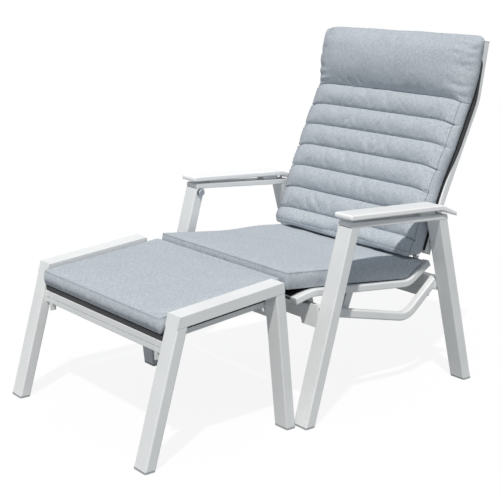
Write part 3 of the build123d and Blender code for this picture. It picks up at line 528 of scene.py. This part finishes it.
def on_seat_sling(across, along):
    """Place of a point of the seat sling, from its place on the flat cut."""
    run, end_drop = over_edge(along, seat_sling_end, end_roll)
    dip = seat_dip * ramp_up(seat_sling_end - abs(run), seat_dip_start, seat_dip_full)
    return beside(seat_line, across, seat_sling_middle + run, seat_sling_top - dip - end_drop)


seat_mesh = mesh_sheet("seat_sling_mesh", 2 * seat_sling_half, seat_flat_length, on_seat_sling)
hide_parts("seat_sling")
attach(seat_mesh, "seat")

# Footstool sling: laid over the stool's side bars, with a lip that hangs over the front bar.
# It rises towards the chair as the side bars do, a millimetre above their tops.
stool_bar_front = 0.398
stool_bar_height = 0.314
stool_slope = 0.1046
stool_sling_rise = 0.001
stool_lip_bend = 0.003
stool_lip_inset = 0.001
stool_sling_inset = 0.0005
stool_sling_low, stool_sling_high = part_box("stool_sling")
stool_sling_half = stool_sling_high.x - stool_sling_inset
stool_lip_y = stool_sling_low.y - front_edge + stool_lip_inset
stool_lip_low = stool_sling_low.z + stool_sling_inset
stool_sling_rear = stool_sling_high.y - front_edge - stool_sling_inset


def stool_sling_height(y):
    """Height of the stool's sling at a place fore and aft, measured from the chair's front edge."""
    return stool_bar_height + stool_sling_rise + stool_slope * (y + stool_bar_front)


stool_line = bent_line(
    (
        (stool_lip_y, stool_lip_low),
        (stool_lip_y, stool_sling_height(stool_lip_y)),
        (stool_sling_rear, stool_sling_height(stool_sling_rear)),
    ),
    (stool_lip_bend,),
)


def on_stool_sling(across, along):
    """Place of a point of the stool's sling, from its place on the flat cut."""
    return beside(stool_line, across, stool_line.length / 2 + along, 0)


stool_mesh = mesh_sheet("stool_sling_mesh", 2 * stool_sling_half, stool_line.length, on_stool_sling)
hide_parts("stool_sling")
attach(stool_mesh, "stool")

# Tube plugs: moulded polyethylene caps pressed into the open ends of the back tubes and the seat rails.
# Each has a thin rounded flange as large as the tube and a short stem inside it.
plug_flange = 0.0022
plug_edge = 0.0009
plug_stem = 0.006
plug_fit = 0.0021
tiny = 0.00001


def tube_plug(name, body, line, x, along, outward, width, depth):
    """One plug square to a bent line, its flange on the tube's end and its stem inside.

    outward is 1 at the far end of the line, and -1 at its start.
    """
    bpy.ops.object.select_all(action="DESELECT")
    bpy.ops.mesh.primitive_cube_add(size=1, location=(0, 0, 0.5), scale=(1, 1, 1))
    plug = bpy.context.object
    plug.name = name
    bpy.ops.object.transform_apply(location=True, rotation=True, scale=True)
    for vertex in plug.data.vertices:
        vertex.co = (vertex.co.x * width, vertex.co.y * depth, vertex.co.z * plug_flange)
    start_selection("FACE")
    for face in plug.data.polygons:
        face.select = face.center.z < tiny
    bpy.ops.object.mode_set(mode="EDIT")
    bpy.ops.mesh.inset(thickness=plug_fit)
    bpy.ops.mesh.extrude_region_move(TRANSFORM_OT_translate={"value": (0, 0, -plug_stem)})
    bpy.ops.object.mode_set(mode="OBJECT")
    for vertex in plug.data.vertices:
        side, rise, out = vertex.co
        vertex.co = beside(line, x + side, along + outward * out, rise)
    bpy.ops.object.mode_set(mode="EDIT")
    bpy.ops.mesh.select_all(action="SELECT")
    bpy.ops.mesh.normals_make_consistent(inside=False)
    bpy.ops.object.mode_set(mode="OBJECT")
    soft = plug.modifiers.new("soft", "BEVEL")
    soft.width = plug_edge
    soft.segments = 2
    bpy.ops.object.modifier_apply(modifier=soft.name)
    bpy.ops.object.shade_smooth_by_angle(angle=radians(40))
    plug.data.materials.append(glide_plastic)
    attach(plug, body)


open_tubes = (
    ("back_side_tube", "back", back_line, back_tube_depth, "back_foot_plug", "back_top_plug"),
    ("seat_side_rail", "seat", seat_line, 2 * seat_rail_half, "seat_front_plug", "seat_rear_plug"),
)
for side in ("left", "right"):
    for tube, body, line, depth, start_plug, end_plug in open_tubes:
        low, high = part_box(f"{tube}_{side}")
        middle = (low.x + high.x) / 2
        width = high.x - low.x
        tube_plug(f"{start_plug}_{side}", body, line, middle, 0, -1, width, depth)
        tube_plug(f"{end_plug}_{side}", body, line, middle, line.length, 1, width, depth)

# Cushion cloth: olefin yarns of pale and darker blue-grey woven plain, so the cloth looks heathered.
# Thread pitch and slub lengths are drawn about twice as coarse as real, so that they show.
thread_pitch = 0.0018
thread_height = 0.0003
slub_length = 0.012
slub_width = 0.002
slub_relief = 0.8
weave_relief = 0.35
patches_per_metre = 14.0
patch_share = 0.1
heather_range = (0.72, 1.38)
cloth_roughness = 0.95
cloth_specular = 0.2
cloth_sheen = 0.08
cloth_sheen_roughness = 0.5
cloth_colours = ("#A4ACB5", "#BCC3CA", "#D2D7DB")


def yarn(tree, lay, length, width):
    """Slubs of one set of threads: noise stretched along the yarn."""
    stretch = add_node(tree, "ShaderNodeMapping", {"Vector": lay, "Scale": (1 / length, 1 / width, 1)})
    slubs = {"Vector": stretch.outputs[0], "Scale": 1.0, "Detail": 3.0}
    return add_node(tree, "ShaderNodeTexNoise", slubs).outputs[0]


cloth, tree, shader = new_material("heather olefin weave")
lay = add_node(tree, "ShaderNodeUVMap", uv_map="threads").outputs["UV"]
weft = yarn(tree, lay, slub_length, slub_width)
warp = yarn(tree, lay, slub_width, slub_length)
both = add_node(tree, "ShaderNodeMath", {0: weft, 1: warp}, operation="ADD").outputs[0]
patches = {"Vector": lay, "Scale": patches_per_metre, "Detail": 2.0}
patch = add_node(tree, "ShaderNodeTexNoise", patches).outputs[0]
blend = add_node(tree, "ShaderNodeMath", {0: patch, 1: patch_share, 2: both}, operation="MULTIPLY_ADD")
heather = {0: blend.outputs[0], 1: heather_range[0], 2: heather_range[1]}
tint = add_node(tree, "ShaderNodeMapRange", heather)
ramp = add_node(tree, "ShaderNodeValToRGB", {0: tint.outputs[0]})
ramp.color_ramp.elements[0].color = linear(cloth_colours[0])
ramp.color_ramp.elements[1].color = linear(cloth_colours[2])
middle = ramp.color_ramp.elements.new(0.5)
middle.color = linear(cloth_colours[1])
tree.links.new(ramp.outputs[0], shader.inputs["Base Color"])
shader.inputs["Roughness"].default_value = cloth_roughness
shader.inputs["Specular IOR Level"].default_value = cloth_specular
shader.inputs["Sheen Weight"].default_value = cloth_sheen
shader.inputs["Sheen Roughness"].default_value = cloth_sheen_roughness
threads = {0: both, 1: slub_relief, 2: weave(tree, lay, thread_pitch)}
raised = add_node(tree, "ShaderNodeMath", threads, operation="MULTIPLY_ADD")
relief = {"Height": raised.outputs[0], "Distance": thread_height, "Strength": weave_relief}
bump = add_node(tree, "ShaderNodeBump", relief)
tree.links.new(bump.outputs[0], shader.inputs["Normal"])

# Back cushion: a boxed pad of the heather cloth with six cross channels and a foot roll, sewn through
# the front only. Each channel is a tube of fibre filling, so it swells between its seams and puckers
# where it is gathered. The foot roll lies on the seat cushion and stays there when the back swings.
sling_gap = 0.0018
back_boxing = 0.046
back_half_width = 0.292
back_start = -0.026
foot_slope = 0.016
foot_corner = 0.015
foot_crown = 0.024
foot_lead = 0.06
foot_stitch = -0.011
stitch_cut = 0.0025
stitch_width = 0.003
stitch_reach = 0.0003
foot_bend_start = -0.015
foot_bend_end = 0.05
first_seam = 0.031
channel_pitch = 0.0685
channel_count = 6
channel_crown = 0.0145
channel_fullness = 0.4
seam_crown = 0.0015
seam_cut = 0.0025
seam_cut_width = 0.002
cross_crown = 0.005
crown_fall = 0.55
boxing_swell = 0.006
upper_swell = 0.012
upper_flare = 0.004
upper_start = (0.2, 0.32)
rim_share = 0.9995
rim_round = 0.005
rim_round_start = 0.9
rim_draw = 0.35
seam_droop = 0.008
droop_start = 0.72
bridge_middle = 0.43
bridge_length = 0.12
bridge_height = 0.002

# Rows of the pad's mesh, as shares of the foot and of a channel, and the pitch of its other lines.
foot_shares = (0, 0.04, 0.11, 0.19, 0.2632, 0.35, 0.46, 0.58, 0.69, 0.79, 0.88, 0.95, 1)
channel_shares = (0.02, 0.06, 0.125, 0.2, 0.3, 0.4, 0.5, 0.6, 0.7, 0.8, 0.875, 0.94, 0.98, 1)
column_pitch = 0.0065
column_margin = 0.03
column_fine_pitch = 0.003
layer_pitch = 0.0077

# The cover as cloth: its weight and stiffness, how hard it is blown up, how much longer it is than its
# pattern, and how far it may move.
cover_mass = 0.25
cover_stiffness = 18
cover_shear = 6
cover_bending = 2.0
blow_quality = 6
blow_steps = 20
back_pressure = 2.6
back_slack = 0.006
back_limit = 0.006

# Puckers, gathers and folds: their depth, and their size or spacing along the seam.
pucker_depth = 0.0016
pucker_size = 0.012
pucker_row = 0.03
gather_depth = 0.0022
gather_pitch = 0.0125
gather_range = (0.86, 0.97)
gather_width = 0.02
crease_depth = 0.005
crease_size = 0.075
crease_end = 0.85
crease_drift = 0.12
crease_width = 0.11
loose_size = 0.11
loose_range = (-0.05, 0.3)
hollow_size = 0.045
hollow_depth = 0.0022
seam_hold = 0.002
seam_free = 0.02


def take_up(piece):
    """Select one piece alone and make it the active one."""
    bpy.ops.object.select_all(action="DESELECT")
    piece.select_set(True)
    bpy.context.view_layer.objects.active = piece


def pad_block(name, x_lines, y_lines, z_lines):
    """A closed block of quads with an edge loop on each given line, for a sewn pad.

    Its faces carry the pad's flat sizes as a thread layout, one island a side.
    """
    lines = (x_lines, y_lines, z_lines)
    counts = [len(line) - 1 for line in lines]
    bpy.ops.mesh.primitive_cube_add(size=1, location=[c / 2 for c in counts], scale=counts)
    pad = bpy.context.object
    pad.name = name
    bpy.ops.object.transform_apply(location=True, rotation=True, scale=True)
    for axis in range(3):
        start_selection("EDGE")
        for edge in pad.data.edges:
            run = pad.data.vertices[edge.vertices[0]].co - pad.data.vertices[edge.vertices[1]].co
            edge.select = abs(run[axis]) > 0.5
        bpy.ops.object.mode_set(mode="EDIT")
        bpy.ops.mesh.subdivide(number_cuts=counts[axis] - 1)
        bpy.ops.object.mode_set(mode="OBJECT")
    for vertex in pad.data.vertices:
        vertex.co = [lines[axis][round(vertex.co[axis])] for axis in range(3)]
    lay_threads(pad)
    return pad


def spread(start, end, pitch, margin=0, fine_pitch=0):
    """Evenly spaced lines from start to end, closer together within a margin at both ends."""
    inner_start, inner_end = start + margin, end - margin
    lines = []
    if margin:
        count = max(1, round(margin / fine_pitch))
        lines += [start + margin * i / count for i in range(count)]
    count = max(1, round((inner_end - inner_start) / pitch))
    lines += [inner_start + (inner_end - inner_start) * i / count for i in range(count + 1)]
    if margin:
        count = max(1, round(margin / fine_pitch))
        lines += [inner_end + margin * (i + 1) / count for i in range(count)]
    return lines


def corner_pull(past_side, past_end):
    """Share by which a point past the start of a round corner is drawn back, along each side."""
    if past_side <= 0 or past_end <= 0:
        return 0
    return 1 - max(past_side, past_end) / hypot(past_side, past_end)


def inflate(pad, held, pressure, slack, limit):
    """Blow the cover up against its seams: cloth under pressure, with vertices of weight 1 held fast.

    No vertex ends further than the limit from its place.
    """
    start = [vertex.co.copy() for vertex in pad.data.vertices]
    group = pad.vertex_groups.new(name="held")
    for index, weight in enumerate(held):
        if weight:
            group.add([index], weight, "REPLACE")
    bpy.context.view_layer.objects.active = pad
    blow = pad.modifiers.new("blow", "CLOTH")
    cover = blow.settings
    cover.quality = blow_quality
    cover.mass = cover_mass
    cover.tension_stiffness = cover_stiffness
    cover.compression_stiffness = cover_stiffness
    cover.shear_stiffness = cover_shear
    cover.bending_stiffness = cover_bending
    cover.use_pressure = True
    cover.uniform_pressure_force = pressure
    cover.shrink_min = -slack
    cover.vertex_group_mass = "held"
    cover.effector_weights.gravity = 0
    for number in range(1, blow_steps + 1):
        bpy.context.scene.frame_set(number)
    bpy.ops.object.modifier_apply(modifier=blow.name)
    bpy.context.scene.frame_set(1)
    for vertex, first in zip(pad.data.vertices, start):
        shift = vertex.co - first
        if shift.length > limit:
            vertex.co = first + shift * (limit / shift.length)
    pad.vertex_groups.clear()


def sew(pad, flat, on_seam, tightness):
    """Crease the edges whose ends both lie on a seam, so that smoothing keeps the fold there."""
    take_up(pad)
    start_selection("EDGE")
    for edge in pad.data.edges:
        edge.select = all(on_seam(flat[corner]) for corner in edge.vertices)
    bpy.ops.object.mode_set(mode="EDIT")
    bpy.ops.transform.edge_crease(value=tightness)
    bpy.ops.object.mode_set(mode="OBJECT")


def smooth_finish(pad, material):
    """One subdivision, smooth shading and the cover's cloth."""
    take_up(pad)
    finer = pad.modifiers.new("finer", "SUBSURF")
    finer.levels = 1
    finer.render_levels = 1
    bpy.ops.object.modifier_apply(modifier=finer.name)
    bpy.ops.object.shade_smooth()
    pad.data.materials.clear()
    pad.data.materials.append(material)


def bell(value, width):
    """Smooth bump of height 1 at zero that fades over a width."""
    return 1 / (1 + (value / width) ** 2) ** 2


def ruffle(x, y, size, depth):
    """A small steady unevenness of a hand-filled pad, the same on each run."""
    return depth * noise.noise(Vector((x / size, y / size, 0.37)))


def slack_fold(x, y, number):
    """A sharp fold where the cover is loose: 1 along a few wandering lines across x, 0 between them."""
    drift = noise.noise(Vector((x / crease_size, number * 5.3, y / crease_drift)))
    loose = noise.noise(Vector((x / loose_size, number * 3.7 + 20, 0.5)))
    return max(0, 1 - abs(drift) / crease_width) ** 1.5 * ramp_up(loose, *loose_range)


def channel_swell(along):
    """Height of a channel's crown over the boxing at a distance along the back."""
    if along <= first_seam:
        share = (along - back_start) / (first_seam - back_start)
        stitched = stitch_cut * bell(along - foot_stitch, stitch_width)
        arch = sqrt(sin(pi * (foot_lead + (1 - foot_lead) * share)))
        return seam_crown + (foot_crown - seam_crown) * arch - stitched
    share = (along - first_seam) / channel_pitch % 1
    cut = seam_cut * bell(min(share, 1 - share) * channel_pitch, seam_cut_width)
    arch = max(0, sin(pi * share)) ** channel_fullness
    return seam_crown + (channel_crown - seam_crown) * arch - cut


def bridge(along):
    """Height of the pad's rear face over the sling where it bridges the bend of the tubes."""
    return bridge_height * bell(along - bridge_middle, bridge_length)


def back_spot(x, along, depth, swell, droop):
    """Where a point of the back's pads comes to lie; x, along and depth are its flat place."""
    lift = depth / back_boxing
    reach = abs(x) / back_half_width
    on_side = reach > rim_share
    crown = swell * (1 - crown_fall * reach**6) + cross_crown * (1 - reach**2)
    rounding = rim_round * ramp_up(reach, rim_round_start, 1) * lift**2
    reach = min(1, reach)
    above = ramp_up(along, *upper_start)
    bow = boxing_swell + (upper_swell - boxing_swell) * above
    side = 4 * lift * (1 - lift) * bow if on_side else 0
    width = x * (1 + (side + upper_flare * above - rim_draw * rounding) / back_half_width)
    slipped = along - droop * lift * max(0, (reach - droop_start) / (1 - droop_start)) ** 2
    away = back_tube_depth / 2 + sling_gap + bridge(along) * (1 - lift) + depth + crown * lift - rounding
    return beside(back_line, width, slipped, away)


def towards_sitter(along):
    """Direction square to the back tubes at a distance along them."""
    return beside(back_line, 0, along, 1) - beside(back_line, 0, along, 0)


seam_lines = [first_seam + channel_pitch * number for number in range(channel_count + 1)]
headrest_seam = seam_lines[-1]
back_rows = [back_start + (first_seam - back_start) * share for share in foot_shares]
for number in range(channel_count):
    back_rows += [seam_lines[number] + channel_pitch * share for share in channel_shares]
back_columns = spread(-back_half_width, back_half_width, column_pitch, column_margin, column_fine_pitch)
back_layers = spread(0, back_boxing, layer_pitch)

back_pad = pad_block("back_cushion_cover", back_columns, back_rows, back_layers)
back_flat = [vertex.co.copy() for vertex in back_pad.data.vertices]
back_held = []
for vertex in back_pad.data.vertices:
    x, along, depth = vertex.co
    seam = min(abs(along - line) for line in seam_lines)
    front = depth > back_boxing - tiny
    rim = abs(x) > back_half_width - tiny
    past_side = abs(x) - (back_half_width - foot_corner)
    past_foot = back_start + foot_corner - along
    pull = corner_pull(past_side, past_foot)
    x -= past_side * pull * sign(x)
    along += past_foot * pull
    above_foot = ramp_up(along, back_start, first_seam)
    raised = foot_slope * (1 - depth / back_boxing) * (1 - above_foot)
    vertex.co = back_spot(x, along + raised, depth, channel_swell(along), seam_droop * above_foot)
    fixed = depth < tiny or along > headrest_seam - tiny or (front and (seam < tiny or rim))
    back_held.append(1.0 if fixed else 0.0)
inflate(back_pad, back_held, back_pressure, back_slack, back_limit)
for vertex, (x, along, depth) in zip(back_pad.data.vertices, back_flat):
    if depth < back_boxing * 0.99:
        continue
    number = int((along - first_seam) / channel_pitch + 1)
    seam = min(abs(along - line) for line in seam_lines)
    between = min(1, seam / seam_free)
    reach = abs(x) / back_half_width
    spot = Vector((x / pucker_size, round(along / pucker_row) * 2.1, 0))
    pucker = pucker_depth * noise.noise(spot) * bell(seam, pucker_size)
    gather = gather_depth * sin(2 * pi * along / gather_pitch)
    gather = gather * ramp_up(reach, *gather_range) * bell(seam, gather_width)
    fold = crease_depth * slack_fold(x, along, number) * between * (1 - ramp_up(reach, crease_end, 1))
    hollow = ruffle(x, along, hollow_size, hollow_depth) * between
    vertex.co += towards_sitter(along) * (pucker * min(1, seam / seam_hold) + gather + hollow - fold)


def on_channel_seam(spot):
    """True on the seams between the channels."""
    return spot.z > back_boxing - tiny and min(abs(spot.y - line) for line in seam_lines) < tiny


def on_panel_edge(spot):
    """True where the front panel is sewn to the boxing, and on the stitch row over the foot's edge."""
    if spot.z < back_boxing - tiny:
        return False
    stitched = abs(spot.y - foot_stitch) < stitch_reach
    return stitched or (abs(spot.x) > back_half_width - tiny and spot.y > foot_stitch - stitch_reach)


sew(back_pad, back_flat, on_channel_seam, tightness=1)
sew(back_pad, back_flat, on_panel_edge, tightness=0.65)

# Painted shade in the back cushion's seams: dark cords, darker than the cloth, laid in the channel grooves
# and along the panel edges where the shadow falls. They are drawn a few times as thick as a thread, so that
# they show.
shade_cord_twist = 0.0011
shade_cord_roughness = 0.8
seam_shade_colours = ("#4B525B", "#6C747E")
channel_shade_radius = 0.0011
edge_shade_radius = 0.0006


def shade_cord_material(name, colours):
    """A cord material of painted seam shade, a little lighter where its strands stand up."""
    material, tree, shader = new_material(name)
    shader.inputs["Roughness"].default_value = shade_cord_roughness
    place = add_node(tree, "ShaderNodeTexCoord").outputs["Object"]
    strands = {"Vector": place, "Scale": 1 / shade_cord_twist, "Detail": 1.0}
    twist = add_node(tree, "ShaderNodeTexNoise", strands)
    ramp = add_node(tree, "ShaderNodeValToRGB", {0: twist.outputs[0]})
    ramp.color_ramp.elements[0].color = linear(colours[0])
    ramp.color_ramp.elements[1].color = linear(colours[1])
    tree.links.new(ramp.outputs[0], shader.inputs["Base Color"])
    return material


def seam_shade_cord(pad, flat, on_seam, name, radius, material):
    """A cord of painted shade along a seam: the pad's edges there, copied and given the cord's thickness.
    """
    take_up(pad)
    bpy.ops.object.duplicate()
    line = bpy.context.object
    line.name = name
    start_selection("EDGE")
    for edge in line.data.edges:
        edge.select = not all(on_seam(flat[corner]) for corner in edge.vertices)
    bpy.ops.object.mode_set(mode="EDIT")
    bpy.ops.mesh.delete(type="EDGE_FACE")
    bpy.ops.object.mode_set(mode="OBJECT")
    bpy.ops.object.convert(target="CURVE")
    line = bpy.context.object
    line.data.bevel_depth = radius
    line.data.bevel_resolution = 1
    line.data.use_fill_caps = True
    bpy.ops.object.convert(target="MESH")
    line = bpy.context.object
    bpy.ops.object.shade_smooth()
    line.data.materials.clear()
    line.data.materials.append(material)
    return line


# Painted shade: the dark cords go into the channel seams and along the panel edges.
seam_shade_material = shade_cord_material("dark painted seam shade", seam_shade_colours)
foot_bend_low = beside(back_line, 0, foot_bend_start, 0)
foot_bend_high = beside(back_line, 0, foot_bend_end, 0)
back_seams = seam_shade_cord(
    back_pad, back_flat, on_channel_seam, "back_channel_seams", channel_shade_radius, seam_shade_material
)
back_edges = seam_shade_cord(back_pad, back_flat, on_panel_edge, "back_panel_edges", edge_shade_radius, seam_shade_material)
for seams in (back_seams, back_edges):
    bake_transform(seams)
smooth_finish(back_pad, cloth)
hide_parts("back_cushion")
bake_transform(back_pad)

# Headrest: the fuller roll at the top of the back cushion, sewn on along the last channel seam.
# Its cover is a little too long for its filling, so it wrinkles in a fan at both ends.
headrest_length = 0.203
headrest_width = 0.009
headrest_corner = 0.022
headrest_crown = 0.031
headrest_arch = 0.95
headrest_shares = (0, 0.008, 0.022, 0.045, 0.075)
headrest_even_share = 0.11
headrest_pitch = 0.0072
headrest_pressure = 3.0
headrest_slack = 0.004
headrest_limit = 0.008
seamed_share = 0.8
top_start = 0.72
top_slope = 0.22
top_lean = 0.008
fan_depth = 0.006
fan_pitch = 0.017
fan_splay = 0.12
fan_drift = 0.11
fan_width = 0.3
fan_reach = (0.7, 0.96)
headrest_hollow_size = 0.06
headrest_hollow_depth = 0.003
top_wave_size = 0.05
top_wave_depth = 0.003

headrest_top = headrest_seam + headrest_length
headrest_rows = [headrest_seam + headrest_length * share for share in headrest_shares]
headrest_rows += spread(headrest_seam + headrest_even_share * headrest_length, headrest_top, headrest_pitch)
headrest_pad = pad_block("headrest_cover", back_columns, headrest_rows, back_layers)
headrest_flat = [vertex.co.copy() for vertex in headrest_pad.data.vertices]
headrest_held = []
for vertex in headrest_pad.data.vertices:
    x, along, depth = vertex.co
    share = (along - headrest_seam) / headrest_length
    reach = abs(x) / back_half_width
    front = depth > back_boxing - tiny
    top = ramp_up(share, top_start, 1)
    arch = sqrt(max(0, sin(pi * (headrest_arch * share))))
    swell = seam_crown + (headrest_crown - seam_crown) * arch
    lean = top_lean * top * depth / back_boxing
    past_side = abs(x) - (back_half_width - headrest_corner)
    past_top = along - (headrest_top - headrest_corner)
    pull = corner_pull(past_side, past_top)
    x -= past_side * pull * sign(x)
    along -= past_top * pull
    wide = x * (1 + headrest_width / back_half_width * ramp_up(share, 0, 0.5))
    droop = seam_droop * (1 - share)
    vertex.co = back_spot(wide, along - lean, depth * (1 - top_slope * top), swell, droop)
    fixed = depth < tiny or (front and along < headrest_seam + tiny)
    fixed = fixed or (front and reach > 0.9999 and share < seamed_share)
    headrest_held.append(1.0 if fixed else 0.0)
inflate(headrest_pad, headrest_held, headrest_pressure, headrest_slack, headrest_limit)
for vertex, (x, along, depth) in zip(headrest_pad.data.vertices, headrest_flat):
    lift = depth / back_boxing
    if lift < 0.3:
        continue
    share = (along - headrest_seam) / headrest_length
    reach = abs(x) / back_half_width
    upper = ramp_up(share, seamed_share, 1)
    end = ramp_up(reach, *fan_reach) * ramp_up(share, 0, 0.12) * (1 - upper)
    spot = Vector(((along + fan_splay * abs(x)) / fan_pitch, abs(x) / fan_drift, 1.7 if x > 0 else 8.1))
    fan = -fan_depth * max(0, 1 - abs(noise.noise(spot)) / fan_width) ** 1.3 * end
    hollow = ruffle(x, along, headrest_hollow_size, headrest_hollow_depth) * ramp_up(share, 0, 0.15)
    wavy = ruffle(x, 0.7, top_wave_size, top_wave_depth) * upper
    vertex.co += towards_sitter(along) * (fan + hollow) * lift + Vector((0, 0, wavy * lift))
smooth_finish(headrest_pad, cloth)
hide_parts("headrest_cushion")
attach(headrest_pad, "back")

# Seat cushion: a boxed foam pad in the same cloth, its rear underside cut to clear the hinge.
# The top panel is sewn to the boxing with a plain seam that stands up as a fine ridge.
seat_front = front_edge - 0.008
seat_rear = front_edge + 0.508
seat_half_width = 0.279
seat_bottom = 0.366
seat_slope = -0.0915
seat_thickness = 0.045
seat_crown = 0.012
seat_bevel_start = front_edge + 0.450
seat_bevel_slope = 0.7115
seat_boxing_swell = 0.004
seat_rear_rise = 0.007
seat_flat_rear = 0.7
rise_range = (0.4, 0.9)
flat_rear_range = (0.4, 0.8)
side_draw = 0.004

# Lines of a seat pad's mesh.
pad_pitch = 0.0085
pad_margin = 0.024
pad_fine_pitch = 0.004
boxing_margin = 0.009
boxing_pitch = 0.0068
boxing_seam = 0.003

# The cover of a seat pad: how it is blown up, its seam's ridge, puckers and hollows, and the pale cord of
# faint painted shade along its seam.
pad_pressure = 2.0
pad_slack = 0.004
pad_limit = 0.0035
seam_ridge = 0.0014
seam_sink = 0.0012
sink_middle = 0.008
sink_width = 0.005
rim_hold = 0.004
rim_pucker_depth = 0.0012
rim_pucker_size = 0.014
rim_pucker_width = 0.016
broad_hollow_size = 0.07
broad_hollow_depth = 0.0022
small_hollow_size = 0.025
small_hollow_depth = 0.0007
# Faint painted shade: a pale grey cord along each seat pad's seam, a little darker than the cloth.
faint_seam_shade_colours = ("#868E97", "#A4ABB3")
rim_shade_radius = 0.0005

faint_seam_shade_material = shade_cord_material("pale painted seam shade", faint_seam_shade_colours)


def flat_pad(
    name, body, low, high, half_width, bottom, slope, thickness, crown, bulge,
    bevel=None, tuck=0, rise=0, flat_rear=0,
):
    """A boxed seat pad lying on its sling, crowned and blown up a little against its seams.

    low and high are its front and rear. bevel gives where its underside starts to be cut away and how
    steeply, tuck draws its front in below, and rise and flat_rear lift and flatten its rear.
    """
    middle = (low + high) / 2
    columns = spread(-half_width, half_width, pad_pitch, pad_margin, pad_fine_pitch)
    rows = spread(low, high, pad_pitch, pad_margin, pad_fine_pitch)
    layers = [0, boxing_seam] + spread(boxing_margin, thickness - boxing_margin, boxing_pitch)
    layers += [thickness - boxing_seam, thickness]
    pad = pad_block(name, columns, rows, layers)
    flat = [vertex.co.copy() for vertex in pad.data.vertices]
    held = []
    for vertex in pad.data.vertices:
        x, y, depth = vertex.co
        lift = depth / thickness
        share = (y - low) / (high - low)
        reach = abs(x) / half_width
        top = depth > thickness - tiny
        at_side = abs(x) > half_width - tiny
        at_front = y < low + tiny
        rim = at_side or at_front or y > high - tiny
        across = 1 - reach**2.5
        across += (1 - across) * flat_rear * ramp_up(share, *flat_rear_range)
        lengthwise = 1 - abs(2 * share - 1) ** 2.5
        sling_height = bottom + slope * (y - low)
        underside = sling_height
        if bevel:
            underside += max(0, y - bevel[0]) * bevel[1]
        upper = sling_height + thickness + crown * across * lengthwise + rise * ramp_up(share, *rise_range)
        swell = 4 * lift * (1 - lift) * bulge
        tucked = tuck * (1 - ramp_up(lift, 0, 0.5)) if at_front else 0
        out_x = swell if at_side else 0
        out_y = swell - tucked * 0.9 if rim and not at_side else 0
        drawn_in = side_draw * 4 * share * (1 - share) * reach**3
        width = abs(x) + out_x - drawn_in
        y += out_y * sign(y - middle)
        vertex.co = (width * sign(x), y, underside + (upper - underside) * lift + tucked)
        held.append(1.0 if depth < tiny or (top and rim) else 0.0)
    inflate(pad, held, pad_pressure, pad_slack, pad_limit)
    for vertex, (x, y, depth) in zip(pad.data.vertices, flat):
        side = half_width - abs(x)
        end = min(y - low, high - y)
        near = min(side, end)
        above = thickness - depth
        out = Vector((sign(x), 0, 0)) if side < end else Vector((0, sign(y - middle), 0))
        if near < tiny and abs(above - boxing_seam) < tiny:
            vertex.co -= out * seam_sink
        if above < tiny:
            spot = (y / rim_pucker_size, 3.1, 0) if side < end else (x / rim_pucker_size, 9.4, 0)
            pucker = rim_pucker_depth * noise.noise(Vector(spot)) * bell(near, rim_pucker_width)
            hollow = ruffle(x, y, broad_hollow_size, broad_hollow_depth)
            hollow += ruffle(x + 3, y, small_hollow_size, small_hollow_depth)
            sunk = seam_sink * bell(near - sink_middle, sink_width) if near > tiny else 0
            vertex.co.z += (pucker + hollow) * min(1, near / rim_hold) - sunk
            if near < tiny:
                vertex.co += out * seam_ridge + Vector((0, 0, seam_ridge * 0.6))

    def on_rim(spot):
        return min(half_width - abs(spot.x), spot.y - low, high - spot.y) < tiny

    def on_top_seam(spot):
        return on_rim(spot) and spot.z > thickness - tiny

    def on_bottom_seam(spot):
        return on_rim(spot) and spot.z < tiny

    def on_corner(spot):
        return abs(spot.x) > half_width - tiny and min(spot.y - low, high - spot.y) < tiny

    def under_top_seam(spot):
        return on_rim(spot) and abs(spot.z - thickness + boxing_seam) < tiny

    sew(pad, flat, on_top_seam, tightness=0.9)
    sew(pad, flat, on_bottom_seam, tightness=0.7)
    sew(pad, flat, on_corner, tightness=0.6)
    # Faint painted shade: a pale grey cord just under the top seam.
    seams = seam_shade_cord(pad, flat, under_top_seam, name.replace("cover", "seam"), rim_shade_radius, faint_seam_shade_material)
    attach(seams, body)
    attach(pad, body)
    smooth_finish(pad, cloth)
    return pad


seat_pad = flat_pad(
    "seat_cushion_cover",
    "seat",
    seat_front,
    seat_rear,
    seat_half_width,
    seat_bottom,
    seat_slope,
    seat_thickness,
    seat_crown,
    seat_boxing_swell,
    bevel=(seat_bevel_start, seat_bevel_slope),
    rise=seat_rear_rise,
    flat_rear=seat_flat_rear,
)
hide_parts("seat_cushion")

# Footstool cushion: a thinner pad of the same make, lying on the stool's sling.
# Its front stands a little past the sling's lip and is tucked in below.
stool_front = front_edge - 0.407
stool_rear = front_edge - 0.031
stool_half_width = 0.273
stool_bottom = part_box("stool_cushion")[0].z
stool_thickness = 0.042
stool_crown = 0.010
stool_boxing_swell = 0.0055
stool_tuck = 0.0035

stool_pad = flat_pad(
    "stool_cushion_cover",
    "stool",
    stool_front,
    stool_rear,
    stool_half_width,
    stool_bottom,
    stool_slope,
    stool_thickness,
    stool_crown,
    stool_boxing_swell,
    tuck=stool_tuck,
)
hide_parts("stool_cushion")
